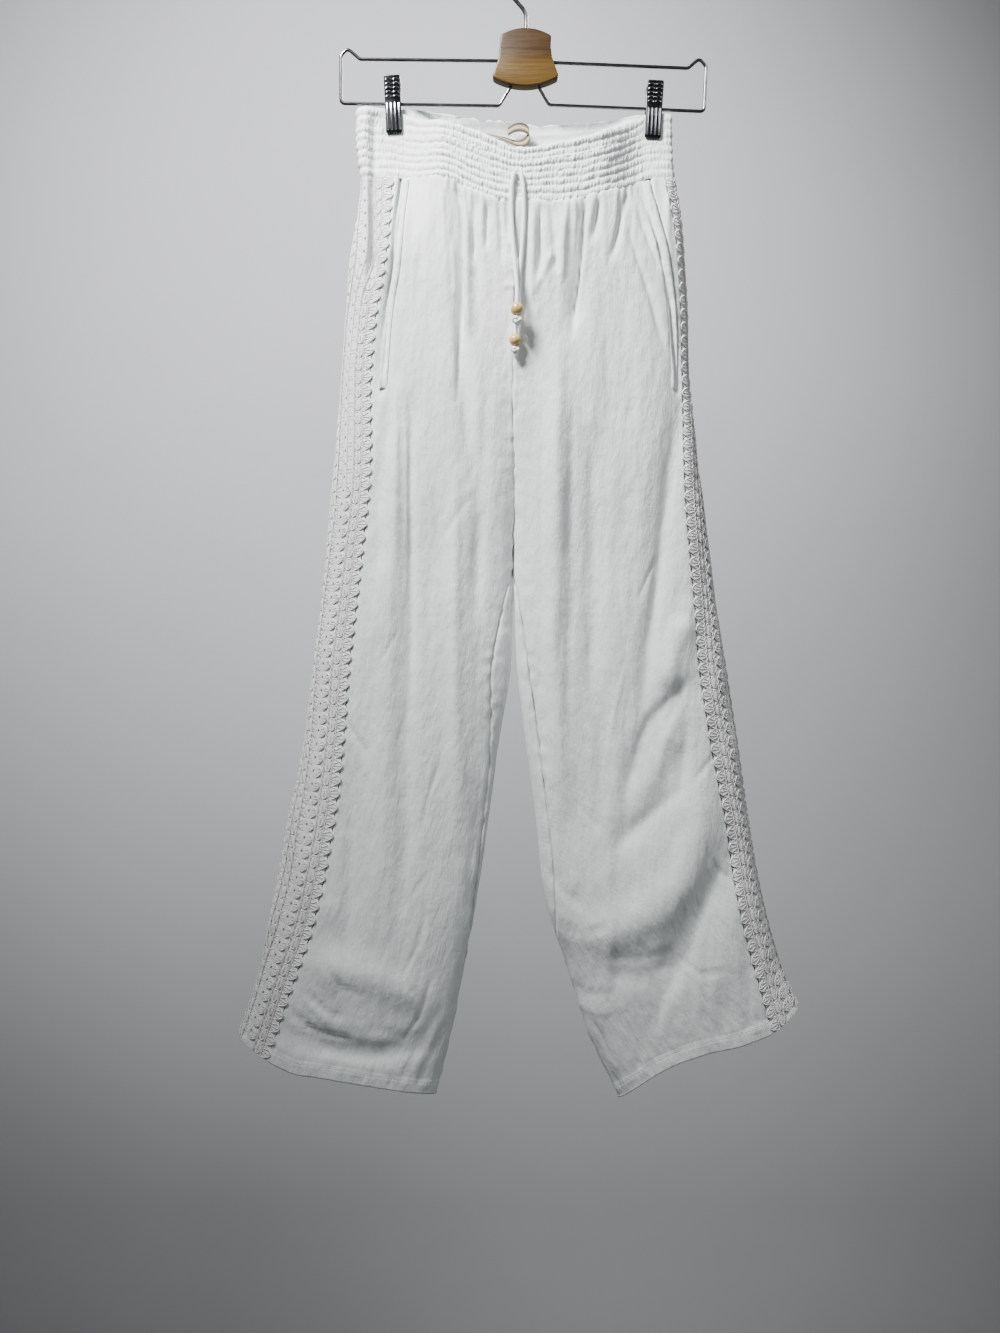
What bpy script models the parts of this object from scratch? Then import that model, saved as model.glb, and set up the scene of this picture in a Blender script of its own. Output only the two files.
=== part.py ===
"""Wide-leg beach pants with crochet lace down the sides, clipped to a wire and wood hanger.

Metres, +Z up, the front of the pants faces -Y. The origin is the inner top of the hanger's
hook, where it hangs. "left" and "right" are as seen from the front. "drop" is the height
measured down from the origin, so z = -drop.
"""
import math

import bmesh
import bpy
import numpy as np
from mathutils import Matrix, Vector

# ---- driving sizes -------------------------------------------------------------------
SEAM_GAP = 0.0003            # clearance at every seam and under every laid-on piece
WAIST_GAP = 0.0005           # clearance under the waistband, whose edge has more corners
CLOTH = 0.0018               # wall of the gauze cloth
LACE_WIDTH = 0.054           # lace band, seam to seam
LACE_REPEAT = 0.0132         # one petal of its edge
LACE_RELIEF = 0.0012         # how far the petals and the middle rib stand up
HEM_WIDTH = 0.012            # turned hem
HEM_RELIEF = 0.0008          # how far the turned hem stands up
HEM_STEP = 0.0008            # length of cloth over which it does
WELT_THICK = 0.0012          # edge of the pocket mouth
SIDE_ROUND = 0.006           # rounding of the side folds where a clip holds them flat
CROTCH = 0.596               # drop of the point where the four leg seams meet
WAIST_LINE = 0.212           # drop of the waistband's lower edge at the side folds
GATHERS = 80                 # gathers round the waistband
CHANNELS = 4                 # elastic channels up the waistband
GATHER_RELIEF = 0.0016
LABEL_WIDTH = 0.011
LABEL_THICK = 0.0008

GRIP_HALF = 0.0032           # cloth held in a clip: its outer faces, either side of the middle
CLIP_WIDTH = 0.016
CLIP_HEIGHT = 0.0555
CLIP_RIBS = 4
SLEEVE_RADIUS = 0.0032       # sleeve of the clip's spring, round the wire
SLEEVE_LENGTH = 0.010
CLIP_X = {"left": -0.1325, "right": 0.1275}
CLIP_TOP = {"left": 0.112, "right": 0.117}
CLIP_LEAN = {"left": 2.2, "right": -3.2}     # degrees, foot towards the middle

WIRE_RADIUS = 0.00165
HOOK_RADIUS = 0.0020
HOOK_BEND = 0.0190           # radius of the hook at the middle of its wire
PLATE_THICK = 0.013
CORD_RADIUS = 0.0021
BORE_SLACK = 0.0003

# ---- outline of each half, one row for each height -----------------------------------
# outer: the side fold; inner: centre line, then the leg's inner fold below the crotch;
# lace: front edge of the lace; seam: inner leg seam as seen from the front;
# front, back, fold: depth of the front, of the back and of the folds between them.
COLUMNS = ("drop", "outer", "inner", "lace", "seam", "front", "back", "fold")
LEFT_ROWS = (
    (0.142, -0.168, -0.0115, -0.133, -0.012, -0.026, 0.016, 0.000),
    (0.183, -0.168, -0.0115, -0.133, -0.012, -0.028, 0.017, 0.000),
    (0.220, -0.164, -0.0115, -0.133, -0.012, -0.029, 0.018, 0.000),
    (0.248, -0.167, -0.0115, -0.134, -0.012, -0.030, 0.018, -0.001),
    (0.305, -0.176, -0.0118, -0.139, -0.012, -0.031, 0.018, -0.002),
    (0.340, -0.178, -0.0120, -0.146, -0.012, -0.031, 0.018, -0.003),
    (0.400, -0.182, -0.0123, -0.152, -0.012, -0.031, 0.017, -0.003),
    (0.520, -0.192, -0.0128, -0.154, -0.013, -0.029, 0.016, -0.004),
    (0.596, -0.199, -0.0130, -0.162, -0.013, -0.027, 0.015, -0.004),
    (0.640, -0.203, -0.0134, -0.167, -0.023, -0.028, 0.014, -0.004),
    (0.700, -0.211, -0.0150, -0.174, -0.034, -0.029, 0.014, -0.005),
    (0.770, -0.2195, -0.0260, -0.179, -0.035, -0.030, 0.014, -0.005),
    (0.850, -0.2355, -0.0370, -0.189, -0.043, -0.031, 0.014, -0.005),
    (0.930, -0.250, -0.0490, -0.207, -0.056, -0.033, 0.014, -0.006),
    (1.000, -0.264, -0.0620, -0.232, -0.069, -0.034, 0.015, -0.006),
    (1.063, -0.285, -0.0740, -0.254, -0.081, -0.033, 0.016, -0.006),
    (1.125, -0.311, -0.0900, -0.277, -0.095, -0.032, 0.016, -0.006),
)
RIGHT_ROWS = (
    (0.142, 0.1455, -0.0115, 0.1365, -0.012, -0.026, 0.016, 0.000),
    (0.183, 0.1455, -0.0115, 0.1375, -0.012, -0.028, 0.017, 0.000),
    (0.220, 0.149, -0.0115, 0.139, -0.012, -0.029, 0.018, 0.000),
    (0.248, 0.1535, -0.0115, 0.145, -0.012, -0.030, 0.018, -0.001),
    (0.305, 0.158, -0.0118, 0.151, -0.012, -0.031, 0.018, -0.002),
    (0.340, 0.160, -0.0120, 0.1527, -0.012, -0.031, 0.018, -0.003),
    (0.400, 0.161, -0.0123, 0.1546, -0.012, -0.031, 0.017, -0.003),
    (0.520, 0.1736, -0.0128, 0.156, -0.013, -0.029, 0.016, -0.004),
    (0.596, 0.183, -0.0130, 0.161, -0.013, -0.027, 0.015, -0.004),
    (0.640, 0.188, -0.0125, 0.165, -0.0065, -0.028, 0.014, -0.004),
    (0.700, 0.1975, -0.0096, 0.1695, 0.002, -0.029, 0.014, -0.005),
    (0.770, 0.208, -0.0014, 0.180, 0.012, -0.030, 0.014, -0.006),
    (0.850, 0.220, 0.0093, 0.196, 0.024, -0.032, 0.014, -0.006),
    (0.930, 0.2335, 0.0185, 0.209, 0.035, -0.036, 0.014, -0.007),
    (1.000, 0.254, 0.0420, 0.2295, 0.060, -0.034, 0.015, -0.006),
    (1.063, 0.2835, 0.0615, 0.2505, 0.079, -0.031, 0.016, -0.006),
    (1.125, 0.311, 0.0920, 0.276, 0.106, -0.030, 0.016, -0.006),
)
HALVES = {"left": np.array(LEFT_ROWS), "right": np.array(RIGHT_ROWS)}
TURN = {"left": 1.0, "right": -1.0}          # which way round a half's sections run

# ---- edges of the waistband: rows of x and drop ---------------------------------------
BAND_TOP = {
    "front": np.array((
        (-0.168, 0.143), (-0.133, 0.144), (-0.098, 0.158), (-0.060, 0.170), (-0.035, 0.180),
        (-0.010, 0.191), (0.003, 0.191), (0.025, 0.187), (0.057, 0.180), (0.090, 0.168),
        (0.112, 0.155), (0.127, 0.149), (0.146, 0.148))),
    "back": np.array((
        (-0.168, 0.143), (-0.133, 0.142), (-0.075, 0.142), (-0.040, 0.147), (-0.010, 0.149),
        (0.010, 0.153), (0.040, 0.151), (0.090, 0.149), (0.127, 0.147), (0.146, 0.148))),
}
BAND_FOOT = {
    "front": np.array((
        (-0.168, 0.212), (-0.133, 0.212), (-0.100, 0.217), (-0.075, 0.222), (-0.055, 0.233),
        (-0.030, 0.242), (0.000, 0.244), (0.035, 0.245), (0.062, 0.239), (0.100, 0.226),
        (0.120, 0.215), (0.146, 0.212))),
    "back": np.array((
        (-0.168, 0.212), (-0.133, 0.212), (-0.060, 0.220), (0.000, 0.223), (0.060, 0.219),
        (0.120, 0.213), (0.146, 0.212))),
}

# ---- hem: rows of share (0 side fold, 1 inner fold) and drop ----------------------------
HEM_LINE = {
    "left": np.array((
        (0.00, 1.063), (0.09, 1.077), (0.25, 1.094), (0.47, 1.102), (0.77, 1.113),
        (0.90, 1.118), (1.00, 1.123))),
    "right": np.array((
        (0.00, 1.036), (0.12, 1.054), (0.31, 1.069), (0.54, 1.079), (0.69, 1.088),
        (0.80, 1.099), (0.90, 1.112), (1.00, 1.127))),
}

# ---- pocket mouth: rows of drop and how far its two edges lie from the lace --------------
POCKET_END = 0.430
POCKET_EDGES = {
    "left": np.array((
        (0.212, 0.010, 0.018), (0.250, 0.007, 0.015), (0.340, 0.009, 0.017),
        (0.430, 0.009, 0.017), (0.600, 0.012, 0.023), (1.125, 0.012, 0.024))),
    "right": np.array((
        (0.212, 0.016, 0.024), (0.250, 0.015, 0.023), (0.300, 0.010, 0.018),
        (0.340, 0.007, 0.015), (0.430, 0.005, 0.013), (0.600, 0.010, 0.021),
        (1.125, 0.012, 0.024))),
}

# ---- largest folds: half, face, height (+ ridge, - trough), width, path of (x, drop) -----
FOLDS = (
    ("left", "front", -0.0060, 0.0060, ((-0.151, 0.160), (-0.151, 0.215), (-0.153, 0.335))),
    ("left", "front", -0.0050, 0.0070, ((-0.067, 0.230), (-0.066, 0.340), (-0.055, 0.517))),
    ("left", "front", 0.0045, 0.0110, ((-0.128, 0.430), (-0.127, 0.556), (-0.136, 0.771),
                                       (-0.142, 0.960))),
    ("left", "front", -0.0040, 0.0090, ((-0.116, 0.440), (-0.116, 0.732), (-0.119, 0.930))),
    ("left", "front", 0.0040, 0.0100, ((-0.067, 0.517), (-0.069, 0.732), (-0.068, 0.870))),
    ("left", "front", -0.0035, 0.0080, ((-0.047, 0.468), (-0.047, 0.556), (-0.052, 0.654))),
    ("left", "front", -0.0045, 0.0100, ((-0.173, 0.790), (-0.171, 0.890), (-0.170, 0.960))),
    ("left", "front", 0.0055, 0.0160, ((-0.204, 0.992), (-0.153, 1.002), (-0.095, 1.026))),
    ("left", "front", -0.0070, 0.0100, ((-0.236, 1.056), (-0.192, 1.072), (-0.143, 1.076),
                                        (-0.094, 1.066))),
    ("right", "front", -0.0055, 0.0070, ((0.056, 0.257), (0.051, 0.301), (0.045, 0.370))),
    ("right", "front", 0.0060, 0.0130, ((0.029, 0.400), (0.029, 0.536), (0.026, 0.654),
                                        (0.032, 0.800), (0.024, 0.890))),
    ("right", "front", -0.0035, 0.0120, ((0.072, 0.478), (0.066, 0.700), (0.072, 0.850))),
    ("right", "front", -0.0070, 0.0120, ((0.144, 0.470), (0.132, 0.595), (0.122, 0.680),
                                         (0.111, 0.780))),
    ("right", "front", 0.0050, 0.0090, ((0.158, 0.649), (0.143, 0.685), (0.133, 0.722))),
    ("right", "front", -0.0070, 0.0100, ((0.165, 0.712), (0.146, 0.737), (0.126, 0.757),
                                         (0.111, 0.791), (0.096, 0.830))),
    ("right", "front", -0.0060, 0.0100, ((0.150, 0.771), (0.138, 0.820), (0.121, 0.845),
                                         (0.084, 0.879))),
    ("right", "front", 0.0070, 0.0170, ((0.175, 0.801), (0.170, 0.860), (0.150, 0.908),
                                        (0.121, 0.938), (0.082, 0.957), (0.047, 0.952))),
    ("right", "front", -0.0080, 0.0140, ((0.189, 0.889), (0.175, 0.928), (0.160, 0.967),
                                         (0.136, 1.026))),
    ("right", "front", -0.0040, 0.0100, ((0.072, 1.001), (0.111, 1.001), (0.150, 0.982))),
    ("left", "back", -0.0040, 0.0100, ((-0.140, 0.240), (-0.138, 0.420), (-0.146, 0.640))),
    ("left", "back", 0.0035, 0.0110, ((-0.098, 0.300), (-0.104, 0.600), (-0.128, 0.880))),
    ("left", "back", -0.0040, 0.0110, ((-0.058, 0.240), (-0.064, 0.480), (-0.090, 0.860))),
    ("left", "back", 0.0040, 0.0150, ((-0.220, 1.000), (-0.165, 1.016), (-0.110, 1.010))),
    ("right", "back", -0.0040, 0.0100, ((0.110, 0.240), (0.112, 0.420), (0.126, 0.640))),
    ("right", "back", 0.0035, 0.0110, ((0.070, 0.300), (0.078, 0.600), (0.104, 0.880))),
    ("right", "back", -0.0040, 0.0110, ((0.030, 0.240), (0.036, 0.480), (0.062, 0.860))),
    ("right", "back", 0.0040, 0.0150, ((0.200, 0.980), (0.150, 1.000), (0.095, 1.008))),
)

# ---- colour, roughness and metallic value of each finish ---------------------------------
FINISHES = {
    "cloth": ((0.86, 0.86, 0.84), 0.9, 0.0),
    "lace": ((0.84, 0.84, 0.81), 0.9, 0.0),
    "cord": ((0.88, 0.88, 0.86), 0.85, 0.0),
    "bead": ((0.52, 0.38, 0.17), 0.35, 0.0),
    "label": ((0.80, 0.72, 0.55), 0.8, 0.0),
    "wood": ((0.24, 0.15, 0.08), 0.45, 0.0),
    "chrome": ((0.80, 0.81, 0.82), 0.12, 1.0),
}


# ---- collections, materials and finished objects ----------------------------------------

def start_clean():
    """Take every object out of the file and add the part's own collections."""
    for thing in list(bpy.data.objects):
        bpy.data.objects.remove(thing, do_unlink=True)
    shelves = {}
    for name in ("beach_pants", "cutters"):
        shelves[name] = bpy.data.collections.new(name)
        bpy.context.scene.collection.children.link(shelves[name])
    return shelves


SHELVES = start_clean()


def finish_material(name):
    """The material of one finish, made once."""
    found = bpy.data.materials.get(name)
    if found:
        return found
    colour, roughness, metallic = FINISHES[name]
    made = bpy.data.materials.new(name)
    made.use_nodes = True
    shader = made.node_tree.nodes["Principled BSDF"]
    shader.inputs["Base Color"].default_value = (*colour, 1.0)
    shader.inputs["Roughness"].default_value = roughness
    shader.inputs["Metallic"].default_value = metallic
    return made


def mesh_part(name, bm, finish, sharp=50.0):
    """Turn a bmesh into a finished object of the part."""
    mesh = bpy.data.meshes.new(name)
    bm.to_mesh(mesh)
    bm.free()
    mesh.shade_smooth()
    mesh.set_sharp_from_angle(angle=math.radians(sharp))
    mesh.materials.append(finish_material(finish))
    part = bpy.data.objects.new(name, mesh)
    SHELVES["beach_pants"].objects.link(part)
    return part


def wire_part(name, points, radius, finish):
    """A round wire or cord along a line of points, with its ends filled."""
    curve = bpy.data.curves.new(name, "CURVE")
    curve.dimensions = "3D"
    curve.bevel_depth = radius
    curve.bevel_resolution = 2
    curve.use_fill_caps = True
    line = curve.splines.new("POLY")
    line.points.add(len(points) - 1)
    for point, place in zip(line.points, points):
        point.co = (*place, 1.0)
    curve.materials.append(finish_material(finish))
    part = bpy.data.objects.new(name, curve)
    SHELVES["beach_pants"].objects.link(part)
    return part


# ---- smooth values ------------------------------------------------------------------------

def ease(value, start, end):
    """0 before start, 1 after end, and a soft rise between them."""
    share = np.clip((value - start) / (end - start), 0.0, 1.0)
    return share * share * (3.0 - 2.0 * share)


def smooth_curve(knots, values, at):
    """A soft curve through a table's values."""
    slopes = np.gradient(values, knots)
    at = np.clip(at, knots[0], knots[-1])
    left = np.clip(np.searchsorted(knots, at) - 1, 0, len(knots) - 2)
    step = knots[left + 1] - knots[left]
    t = (at - knots[left]) / step
    rise = t * t * (3.0 - 2.0 * t)
    bend = slopes[left] * (1.0 - t) + slopes[left + 1] * -t
    return values[left] + (values[left + 1] - values[left]) * rise + bend * step * t * (1.0 - t)


def row_value(half, column, drop):
    """A column of a half's table at a drop."""
    rows = HALVES[half]
    return smooth_curve(rows[:, 0], rows[:, COLUMNS.index(column)], np.asarray(drop, float))


def line_value(rows, at, column=1):
    """A short table read at a place, column by column."""
    return smooth_curve(rows[:, 0], rows[:, column], np.asarray(at, float))


def smooth_route(points, count):
    """A smooth line of count points through a short list of places."""
    places = np.array(points, float)
    steps = np.linalg.norm(np.diff(places, axis=0), axis=1)
    along = np.concatenate(([0.0], np.cumsum(steps)))
    at = np.linspace(0.0, along[-1], count)
    return np.stack([smooth_curve(along, places[:, axis], at) for axis in range(3)], axis=1)


# ---- the garment's surface ------------------------------------------------------------------

def fold_relief(half, face, x, drop):
    """How far the folds push one face out (or in) at each place."""
    relief = np.zeros_like(x)
    for fold_half, fold_face, height, width, path in FOLDS:
        if (fold_half, fold_face) != (half, face):
            continue
        path = np.array(path)
        spans = np.linalg.norm(np.diff(path, axis=0), axis=1)
        before = np.concatenate(([0.0], np.cumsum(spans)))
        nearest = np.full(x.shape, 1.0)
        share = np.zeros_like(x)
        for start, end, span, done in zip(path[:-1], path[1:], spans, before[:-1]):
            way = (end - start) / span
            along = np.clip((x - start[0]) * way[0] + (drop - start[1]) * way[1], 0.0, span)
            aside = np.hypot(x - start[0] - way[0] * along, drop - start[1] - way[1] * along)
            closer = aside < nearest
            nearest = np.where(closer, aside, nearest)
            share = np.where(closer, (done + along) / before[-1], share)
        fade = ease(share, -0.12, 0.22) * (1.0 - ease(share, 0.75, 1.12))
        relief += height * np.exp(-(nearest / width) ** 2) * fade
    return relief


def clip_hold(half, x, drop):
    """1 where the clip presses the cloth flat, falling to 0 away from it."""
    outward = -1.0 if half == "left" else 1.0
    aside = (x - CLIP_X[half]) * outward
    across = 1.0 - np.where(aside > 0.0, ease(aside, 0.010, 0.038), ease(-aside, 0.010, 0.056))
    return across * (1.0 - ease(drop, 0.172, 0.300))


def face_points(half, face, share, drop):
    """Points of one face; share is 0 at the side fold and 1 at the centre or inner fold."""
    side = -1.0 if face == "front" else 1.0
    outer = row_value(half, "outer", drop[0])
    inner = row_value(half, "inner", drop[-1]) - TURN[half] * SEAM_GAP / 2
    x = outer + (inner - outer) * share
    middle = 1.0 - 0.5 * ease(drop, 0.300, 0.620)
    near = np.clip(share / middle, 0.0, 1.0)
    far = np.clip((share - middle) / np.maximum(1.0 - middle, 1e-6), 0.0, 1.0)
    closing = ease(drop, 0.360, CROTCH)
    blunt = 6.0 - 3.0 * ease(drop, 0.450, 0.750)
    plump = np.sqrt(1.0 - (1.0 - near) ** 3)
    plump = plump * np.sqrt(np.maximum(1.0 - closing * far ** blunt, 0.0))
    fold = row_value(half, "fold", drop)
    reach = row_value(half, face, drop)
    y = fold + (reach - fold) * plump
    y = y + side * fold_relief(half, face, x, drop) * ease(plump, 0.15, 0.60)
    edge = np.clip(np.abs(x - outer) / SIDE_ROUND, 0.0, 1.0)
    held = side * GRIP_HALF * np.sqrt(1.0 - (1.0 - edge) ** 2)
    hold = clip_hold(half, x, drop)
    y = y * (1.0 - hold) + held * hold
    return np.stack([x, y, -drop], axis=-1)


FINE = 121                                     # points across one face of a fine section
SHARE = 0.5 - 0.5 * np.cos(np.linspace(0.0, math.pi, FINE))


def section(half, drops):
    """A fine section: centre front, side fold, centre back. drops holds each face's heights."""
    front = face_points(half, "front", SHARE, drops["front"])
    back = face_points(half, "back", SHARE, drops["back"])
    return np.concatenate([front[::-1], back[1:]])


def band_drops(half, v):
    """Heights round a section of the waistband; v runs 0 to 1 down it."""
    outer = row_value(half, "outer", WAIST_LINE)
    inner = row_value(half, "inner", WAIST_LINE)
    x = outer + (inner - outer) * SHARE
    drops = {}
    for face in ("front", "back"):
        top = line_value(BAND_TOP[face], x)
        foot = line_value(BAND_FOOT[face], x)
        drops[face] = top + (foot - top) * v
    return drops


def leg_drops(half, level):
    """Heights round a section of the panels, which follow the waistband and the hem."""
    waist = band_drops(half, 1.0)
    hem = HEM_LINE[half]
    hem_level = hem[0, 1]
    near_waist = 1.0 - ease(level, WAIST_LINE, 0.360)
    near_hem = ease(level, hem_level - 0.300, hem_level)
    dip = (line_value(hem, SHARE) - hem_level) * near_hem
    drops = {}
    for face in ("front", "back"):
        drops[face] = level + (waist[face] - WAIST_LINE) * near_waist + dip
    return drops


def leg_levels(half):
    """The rows of the panels, closer together where the folds are."""
    hem_level = HEM_LINE[half][0, 1]
    spans = (
        (WAIST_LINE, 0.360, 5),
        (0.360, CROTCH, 6),
        (CROTCH, 0.660, 3),
        (0.660, 0.900, 7),
        (0.900, hem_level - HEM_WIDTH, 9),
    )
    levels = []
    for start, end, count in spans:
        levels.extend(np.linspace(start, end, count + 1)[:-1])
    turned = hem_level - HEM_WIDTH
    levels.extend([turned, turned + HEM_STEP, hem_level])
    return np.array(levels)


def arc_length(points):
    """Distance along a line of points."""
    return np.concatenate(([0.0], np.cumsum(np.linalg.norm(np.diff(points, axis=0), axis=1))))


def spread(points, along, at):
    """Points at the given distances along a fine line."""
    return np.stack([np.interp(at, along, points[:, axis]) for axis in range(3)], axis=1)


class Half:
    """One half of the garment: fine sections, their normals and where the seams cross them."""

    def __init__(self, half):
        self.half = half
        self.levels = leg_levels(half)
        self.rows = [self.measure(level) for level in self.levels]

    def measure(self, level):
        """Everything that the pieces need to know of one row."""
        drops = leg_drops(self.half, level)
        if level == self.levels[0]:
            drops = {face: drop + WAIST_GAP for face, drop in drops.items()}
        points = section(self.half, drops)
        lower = section(self.half, leg_drops(self.half, level + 0.001))
        down = lower - section(self.half, leg_drops(self.half, level))
        normals = TURN[self.half] * np.cross(np.gradient(points, axis=0), down)
        normals /= np.linalg.norm(normals, axis=1, keepdims=True)
        along = arc_length(points)
        closed = level > CROTCH - 1e-6
        front_x = points[:FINE, 0] * -TURN[self.half]
        lace_x = row_value(self.half, "lace", level) * -TURN[self.half]
        lace = float(np.interp(lace_x, front_x, along[:FINE]))
        seam_x = row_value(self.half, "seam", level) * -TURN[self.half]
        seam = float(np.interp(seam_x, front_x, along[:FINE])) if closed else 0.0
        if closed:
            points = np.concatenate([points, points[1:FINE]])
            normals = np.concatenate([normals, normals[1:FINE]])
            along = np.concatenate([along, along[-1] + along[1:FINE]])
        total = along[2 * FINE - 2]
        gap = SEAM_GAP / 2
        return {
            "level": level,
            "wrap": seam,
            "points": points,
            "normals": normals,
            "along": along,
            "front": (seam + gap * closed, lace - gap),
            "lace": (lace + gap, lace + LACE_WIDTH - gap),
            "back": (lace + LACE_WIDTH + gap, total + seam - gap * closed),
        }

    def grid(self, piece, places):
        """Points and normals of a piece; places(row, length) gives its columns along a row."""
        points = []
        normals = []
        for row in self.rows:
            start, end = row[piece]
            at = start + places(row, end - start)
            points.append(spread(row["points"], row["along"], at))
            normals.append(spread(row["normals"], row["along"], at))
        normals = np.array(normals)
        normals /= np.linalg.norm(normals, axis=2, keepdims=True)
        return np.array(points), normals


# ---- walls --------------------------------------------------------------------------------

def add_sheet(bm, grid, turned):
    """Add a grid of points and its faces; turned gives the faces the other side."""
    corners = [[bm.verts.new(place) for place in row] for row in grid]
    for upper, lower in zip(corners[:-1], corners[1:]):
        for k in range(len(upper) - 1):
            loop = (upper[k], upper[k + 1], lower[k + 1], lower[k])
            bm.faces.new(loop[::-1] if turned else loop)
    return corners


def border(corners):
    """The edge of a grid as one loop."""
    top = corners[0]
    right = [row[-1] for row in corners[1:-1]]
    foot = corners[-1][::-1]
    left = [row[0] for row in corners[-2:0:-1]]
    return top + right + foot + left


def add_rim(bm, outer_a, outer_b, inner_a, inner_b):
    """Close a wall's edge, split the same way on both sides of every seam."""
    if outer_a.co.z < outer_b.co.z:
        outer_a, outer_b, inner_a, inner_b = outer_b, outer_a, inner_b, inner_a
    bm.faces.new((outer_a, outer_b, inner_b))
    bm.faces.new((outer_a, inner_b, inner_a))


def wall_part(name, outer, inner, finish):
    """A closed wall between an outer and an inner grid of the same size."""
    bm = bmesh.new()
    outside = border(add_sheet(bm, outer, False))
    inside = border(add_sheet(bm, inner, True))
    for k in range(len(outside)):
        add_rim(bm, outside[k - 1], outside[k], inside[k - 1], inside[k])
    bmesh.ops.recalc_face_normals(bm, faces=bm.faces)
    return mesh_part(name, bm, finish)


def zip_strips(bm, many, few, closed):
    """Join a fine edge to a coarse one with triangles."""
    ratio = len(few) / len(many) if closed else (len(few) - 1) / (len(many) - 1)
    last = len(many) if closed else len(many) - 1
    for k in range(last):
        here = many[k]
        there = many[(k + 1) % len(many)]
        low = int(k * ratio + 1e-6)
        high = int((k + 1) * ratio + 1e-6)
        bm.faces.new((here, there, few[low % len(few)]))
        if high > low:
            bm.faces.new((there, few[high % len(few)], few[low % len(few)]))


# ---- cloth pieces -------------------------------------------------------------------------

FRONT_COLUMNS = 13
BACK_COLUMNS = 8


def front_places(half):
    """Columns of a front, with two of them along the pocket mouth."""
    def places(row, length):
        near = line_value(POCKET_EDGES[half], row["level"], 1)
        wide = line_value(POCKET_EDGES[half], row["level"], 2)
        even = np.linspace(0.0, length - wide, FRONT_COLUMNS - 1)
        return np.concatenate([even, (length - near, length)])
    return places


def back_places(row, length):
    """Columns of a back: even ones, then a few round the inner fold to the leg seam."""
    wrap = max(row["wrap"], 0.004)
    even = np.linspace(0.0, length - wrap - 0.008, BACK_COLUMNS - 2)
    return np.concatenate([even, (length - wrap, length - wrap / 2, length)])


def hem_outer(points, normals):
    """The outer grid of a panel, with its turned hem standing up."""
    outer = points.copy()
    outer[-2:] += normals[-2:] * HEM_RELIEF
    return outer


def build_panels(half):
    """The front, the back and the pocket edge of one half."""
    shape = Half(half)
    points, normals = shape.grid("front", front_places(half))
    wall_part(f"front_{half}", hem_outer(points, normals), points - normals * CLOTH, "cloth")
    rows = int(np.sum(shape.levels < POCKET_END))
    strip = points[:rows, -3:-1]
    out = normals[:rows, -3:-1]
    base = strip + out * SEAM_GAP
    wall_part(f"pocket_{half}", base + out * WELT_THICK, base, "cloth")
    points, normals = shape.grid("back", back_places)
    wall_part(f"back_{half}", hem_outer(points, normals), points - normals * CLOTH, "cloth")
    build_lace(shape)


def build_lace(shape):
    """The lace band: raised petals along both edges and a raised rib down the middle."""
    across = np.array([0.0, 0.20, 0.50, 0.80, 1.0])
    lift_low = np.array([0.0, 0.15, 0.8, 0.15, 0.0]) * LACE_RELIEF
    lift_high = np.array([0.0, 1.0, 0.5, 1.0, 0.0]) * LACE_RELIEF
    points, normals = shape.grid("lace", lambda row, length: across * length)
    outer = [points[0] + normals[0] * lift_low[:, None]]
    edge_index = [0]
    petal = 0
    for k in range(len(points) - 1):
        span = np.linalg.norm(points[k + 1, 2] - points[k, 2])
        steps = max(1, round(span / (LACE_REPEAT / 2)))
        for step in range(1, steps + 1):
            share = step / steps
            petal += 1
            lift = lift_high if petal % 2 else lift_low
            base = points[k] * (1 - share) + points[k + 1] * share
            out = normals[k] * (1 - share) + normals[k + 1] * share
            outer.append(base + out * lift[:, None])
        edge_index.append(len(outer) - 1)
    bm = bmesh.new()
    outside = add_sheet(bm, np.array(outer), False)
    inside = add_sheet(bm, points - normals * CLOTH, True)
    for end in (0, -1):
        for k in range(len(across) - 1):
            bm.faces.new((outside[end][k], outside[end][k + 1],
                          inside[end][k + 1], inside[end][k]))
    for side in (0, -1):
        for k in range(len(edge_index) - 1):
            fine = [outside[j][side] for j in range(edge_index[k], edge_index[k + 1] + 1)]
            for upper, lower in zip(fine[:-1], fine[1:]):
                bm.faces.new((upper, lower, inside[k + 1][side]))
            bm.faces.new((fine[0], inside[k + 1][side], inside[k][side]))
    bmesh.ops.recalc_face_normals(bm, faces=bm.faces)
    mesh_part(f"lace_{shape.half}", bm, "lace")


def band_loop(v, count):
    """Points, outward directions and clip hold at even places round the waistband."""
    loops = {half: section(half, band_drops(half, v)) for half in ("left", "right")}
    loop = np.concatenate([loops["left"], loops["right"][::-1]])
    hold = np.concatenate([clip_hold("left", loops["left"][:, 0], -loops["left"][:, 2]),
                           clip_hold("right", loops["right"][::-1, 0],
                                     -loops["right"][::-1, 2])])
    closed = np.concatenate([loop, loop[:1]])
    along = arc_length(closed)
    tangent = np.gradient(closed, along, axis=0)
    tangent[0] = tangent[-1] = closed[1] - closed[-2]
    out = np.stack([-tangent[:, 1], tangent[:, 0], np.zeros(len(closed))], axis=1)
    out /= np.linalg.norm(out, axis=1, keepdims=True)
    at = np.arange(count) / count * along[-1]
    out = spread(out, along, at)
    out /= np.linalg.norm(out, axis=1, keepdims=True)
    free = 1.0 - np.interp(at, along, np.concatenate([hold, hold[:1]]))
    return spread(closed, along, at), out, free


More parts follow.
